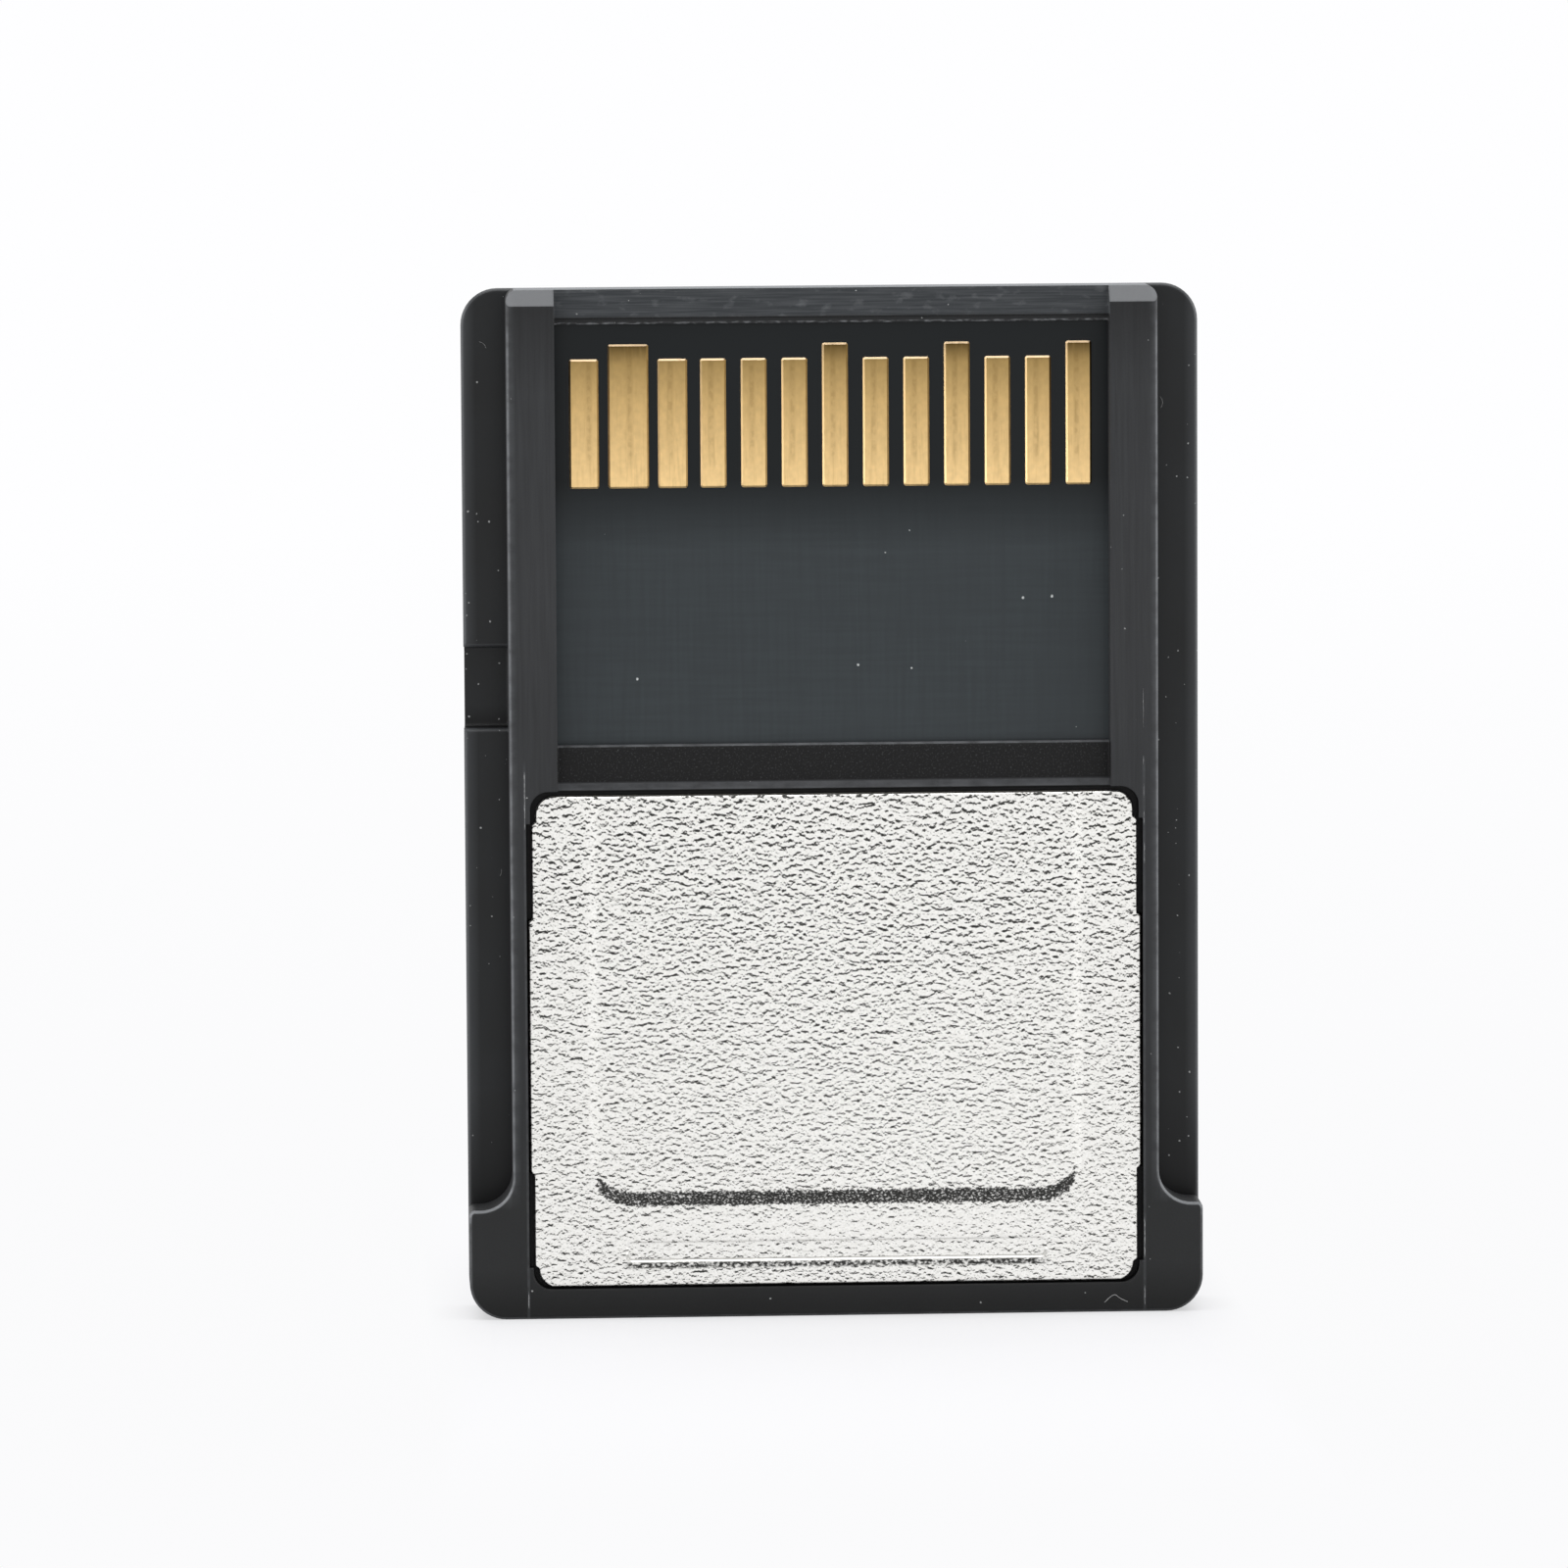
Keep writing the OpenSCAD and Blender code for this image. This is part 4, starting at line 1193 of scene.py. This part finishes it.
@dataclass(frozen=True)
class Lint:
    """The few longer fibres that lie on the card."""

    fibres: tuple[Fibre, ...] = (
        Fibre(
            ((7.30, 0.27), (7.44, 0.42), (7.60, 0.50), (7.70, 0.38), (7.93, 0.28)), -1.402, 0.008
        ),
        Fibre(((-9.50, 26.56), (-9.42, 26.54), (-9.34, 26.47), (-9.31, 26.38)), -0.004, 0.004),
        Fibre(((9.00, 24.60), (9.05, 24.70), (9.04, 24.82), (8.98, 24.90)), -0.004, 0.004),
        Fibre(((-9.06, 12.00), (-9.01, 12.08), (-9.02, 12.19)), -0.004, 0.004),
    )

    def material(self) -> bpy.types.Material:
        """Grey cotton lint, dull and uneven along its length.

        Returns:
            The finished material.
        """
        s = Surface("cotton_lint")
        uneven = s.mottle((0.05, 0.05, 0.05), 2.0)
        return s.close(Base_Color=s.painted("#6E6F70", (uneven, "#A9AAAA")), Roughness=0.9)

    def build(self) -> None:
        """Lays each fibre on its face."""
        material = self.material()
        for number, fibre in enumerate(self.fibres, 1):
            curve = bpy.data.curves.new(f"lint_fibre_{number}", "CURVE")
            curve.dimensions = "3D"
            curve.bevel_depth = fibre.radius * MM
            curve.bevel_resolution = 2
            curve.use_fill_caps = True
            spline = curve.splines.new("NURBS")
            spline.points.add(len(fibre.points) - 1)
            for point, (x, z) in zip(spline.points, fibre.points):
                point.co = (x * MM, fibre.face_y * MM, z * MM, 1.0)
            spline.order_u = 3
            spline.use_endpoint_u = True
            piece = place(curve.name, curve)
            dress(piece, material)
            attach(piece, "root")


@dataclass(frozen=True)
class Sliver:
    """One thin line of moulding flash that stands on the contact face, in millimetres."""

    x: float
    low: float
    high: float
    width: float = 0.022


@dataclass(frozen=True)
class MouldFlash:
    """Slivers of flash beside the plate's pocket, left by the tool's inserts."""

    slivers: tuple[Sliver, ...] = (
        Sliver(-8.40, 13.4, 15.0),
        Sliver(-8.40, 0.30, 0.78, 0.02),
        Sliver(8.39, 16.0, 17.1, 0.010),
        Sliver(8.39, 15.0, 15.25, 0.014),
        Sliver(8.40, 14.1, 14.5, 0.016),
        Sliver(8.40, 13.35, 13.8, 0.013),
        Sliver(8.41, 12.3, 12.9, 0.014),
        Sliver(8.40, 1.45, 2.62, 0.022),
        Sliver(8.40, 0.18, 0.74, 0.018),
    )
    face_y: float = -1.3995
    height: float = 0.007
    step: float = 0.06
    uneven: tuple[float, float] = (0.25, 1.3)
    lean: float = 0.004
    least_half_w: float = 0.001

    def build(self) -> None:
        """Builds the slivers as one piece, each with an uneven width."""
        chance = random.Random(7)
        bm = bmesh.new()
        for sliver in self.slivers:
            count = max(2, round((sliver.high - sliver.low) / self.step))
            before = None
            for i in range(count + 1):
                z = sliver.low + (sliver.high - sliver.low) * i / count
                ends = min(1.0, i / 2, (count - i) / 2)
                half = sliver.width / 2 * ends * chance.uniform(*self.uneven) + self.least_half_w
                x = sliver.x + chance.uniform(-self.lean, self.lean)
                top = self.face_y - self.height
                corners = ((x - half, self.face_y), (x, top), (x + half, self.face_y))
                ring = [bm.verts.new((across * MM, y * MM, z * MM)) for across, y in corners]
                if before:
                    for a, b in ((0, 1), (1, 2), (2, 0)):
                        bm.faces.new((before[a], before[b], ring[b], ring[a]))
                else:
                    bm.faces.new(ring)
                before = ring
            bm.faces.new(before)
        bmesh.ops.recalc_face_normals(bm, faces=bm.faces)
        piece = place("moulding_flash", mesh_from("moulding_flash", bm))
        # Torn polymer stands up rough and catches the light here and there
        s = Surface("torn_polymer_flash")
        torn = s.mottle((0.05, 0.05, 0.08), 2.0)
        colour = s.painted("#4B4C4E", (torn, "#A6A8A9"))
        dress(piece, s.close(Base_Color=colour, Roughness=0.6))
        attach(piece, "root")


@dataclass(frozen=True)
class Lamp:
    """One soft box: where it stands and its two sides, in metres, and its radiance."""

    name: str
    place: Point
    wide: float
    high: float
    radiance: float


@dataclass(frozen=True)
class Studio:
    """A pale table, a soft box overhead and one at each side, and a white room.

    Lamps, their aim and the table's size are in metres, and the table's shading in millimetres.
    """

    lamps: tuple[Lamp, ...] = (
        Lamp("overhead_box", (0.0, 0.01, 0.24), 0.30, 0.26, 2.7),
        Lamp("left_box", (-0.30, -0.03, 0.09), 0.20, 0.20, 4.9),
        Lamp("right_box", (0.30, -0.03, 0.09), 0.20, 0.20, 4.9),
    )
    aim: Point = (0.0, 0.0, 0.014)
    table_half_w: float = 1.5
    room_light: float = 0.5
    room_shown: float = 0.99
    table_glow: float = 0.51
    table_shown: float = 0.97
    aside: tuple[float, float] = (9.4, 11.2)
    ahead: tuple[float, float] = (6.0, 30.0)
    whiter: tuple[float, float] = (20.0, 260.0)
    table_colour: str = "#949496"
    table_faint: str = "#969698"
    table_white: str = "#FEFEFF"
    table_bounce: str = "#E4E4E4"

    def build(self) -> None:
        """Sets up the table, the lamps and the room."""
        self.lay_table()
        for lamp in self.lamps:
            self.hang(lamp)
        self.light_room()
        bpy.context.scene.view_settings.view_transform = "Standard"
        log.info("studio: %d soft boxes and a white room", len(self.lamps))

    @staticmethod
    def seen(tree: bpy.types.NodeTree) -> Socket:
        """A mask for the rays that show the background: straight, mirrored or passed through.

        Args:
            tree: The node tree that asks.

        Returns:
            The mask's socket.
        """
        rays = add(tree, "LightPath").node.outputs
        mask = rays["Is Camera Ray"]
        for other in ("Is Glossy Ray", "Is Transmission Ray"):
            mask = add(tree, "Math", {0: mask, 1: rays[other]}, operation="MAXIMUM")
        return mask

    def lay_table(self) -> None:
        """Lays the table, whose glow makes it white where nothing shades it."""
        w = self.table_half_w
        bm = bmesh.new()
        corners = ((-w, -w), (w, -w), (w, w), (-w, w))
        bm.faces.new([bm.verts.new((x, y, 0.0)) for x, y in corners])
        table = place("studio_table", mesh_from("studio_table", bm))
        # Matt white acrylic, faintly cloudy
        s = Surface("white_acrylic_table")
        faint = s.mottle((40.0, 40.0, 40.0), 1.0)
        colour = s.painted(self.table_colour, (faint, self.table_faint))
        plain = add(s.tree, "BsdfDiffuse", {"Color": colour})
        white = linear(self.table_white)
        glow = add(s.tree, "Emission", {"Color": white, "Strength": self.table_glow})
        near = add(s.tree, "AddShader", {0: plain, 1: glow})
        # The card shades the table only close by, and beyond that the table is plain white
        low, high = self.aside
        aside = add(s.tree, "MapRange", {0: s.off_centre, 1: low, 2: high, 3: 0.0, 4: 1.0})
        depth = add(s.tree, "Math", {0: s.y}, operation="ABSOLUTE")
        low, high = self.ahead
        ahead = add(s.tree, "MapRange", {0: depth, 1: low, 2: high, 3: 0.0, 4: 1.0})
        far = add(s.tree, "Math", {0: aside, 1: ahead}, operation="MAXIMUM")
        away = add(s.tree, "VectorMath", {0: s.place}, "Value", operation="LENGTH")
        low, high = self.whiter
        level = add(s.tree, "MapRange", {0: away, 1: low, 2: high, 3: self.table_shown, 4: 1.0})
        plain_white = add(s.tree, "Emission", {"Color": white, "Strength": level})
        shown = add(s.tree, "MixShader", {0: far, 1: near, 2: plain_white})
        bounce = add(s.tree, "BsdfDiffuse", {"Color": linear(self.table_bounce)})
        mixed = add(s.tree, "MixShader", {0: self.seen(s.tree), 1: bounce, 2: shown})
        add(s.tree, "OutputMaterial", {"Surface": mixed})
        table.data.materials.append(s.material)

    def hang(self, lamp: Lamp) -> None:
        """Hangs one soft box, turned to the card.

        Args:
            lamp: The soft box.
        """
        data = bpy.data.lights.new(lamp.name, "AREA")
        data.shape, data.size, data.size_y = "RECTANGLE", lamp.wide, lamp.high
        data.energy = lamp.radiance * math.pi * lamp.wide * lamp.high
        box = place(lamp.name, data)
        box.location = lamp.place
        towards = Vector(self.aim) - Vector(lamp.place)
        box.rotation_euler = towards.to_track_quat("-Z", "Y").to_euler()
        box.visible_camera = False

    def light_room(self) -> None:
        """Makes the room white to the eye and softer as a light."""
        world = bpy.data.worlds.new("white_room")
        world.use_nodes = True
        world.node_tree.nodes.clear()
        tree = world.node_tree
        lit, shown = self.room_light, self.room_shown
        levels = {0: self.seen(tree), 1: 0.0, 2: 1.0, 3: lit, 4: shown}
        strength = add(tree, "MapRange", levels)
        room = add(tree, "Background", {"Color": (1.0, 1.0, 1.0, 1.0), "Strength": strength})
        add(tree, "OutputWorld", {"Surface": room})
        bpy.context.scene.world = world


@dataclass(frozen=True)
class Viewpoint:
    """The camera as the photograph has it. Place in millimetres, turns in degrees."""

    place: Point = (-13.68, -267.3, 43.22)
    yaw: float = 2.65
    pitch: float = 6.14
    roll: float = -0.33
    lens: float = 226.96

    def build(self) -> None:
        """Makes the camera and hands it to the scene."""
        yaw, pitch, roll = (math.radians(a) for a in (self.yaw, self.pitch, self.roll))
        level = math.cos(pitch)
        ahead = Vector((math.sin(yaw) * level, math.cos(yaw) * level, -math.sin(pitch)))
        right = ahead.cross(Vector((0, 0, 1))).normalized()
        up = right.cross(ahead)
        turned = math.cos(roll) * right + math.sin(roll) * up
        raised = -math.sin(roll) * right + math.cos(roll) * up
        axes = Matrix((turned, raised, -ahead)).transposed().to_4x4()
        data = bpy.data.cameras.new("photo_view")
        data.lens, data.sensor_width = self.lens, 36.0
        data.clip_start, data.clip_end = 0.01, 20.0
        camera = place("photo_view", data)
        camera.matrix_world = Matrix.Translation(Vector(self.place) * MM) @ axes
        bpy.context.scene.camera = camera


def main() -> None:
    """Builds the card's looks and its studio."""
    logging.basicConfig(level=logging.INFO, format="%(name)s: %(message)s")
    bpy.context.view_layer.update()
    for part in (Shells(), RearPlate(), Board(), Lint(), MouldFlash(), Studio(), Viewpoint()):
        part.build()
        log.info("%s built", type(part).__name__)


if __name__ == "__main__":
    main()
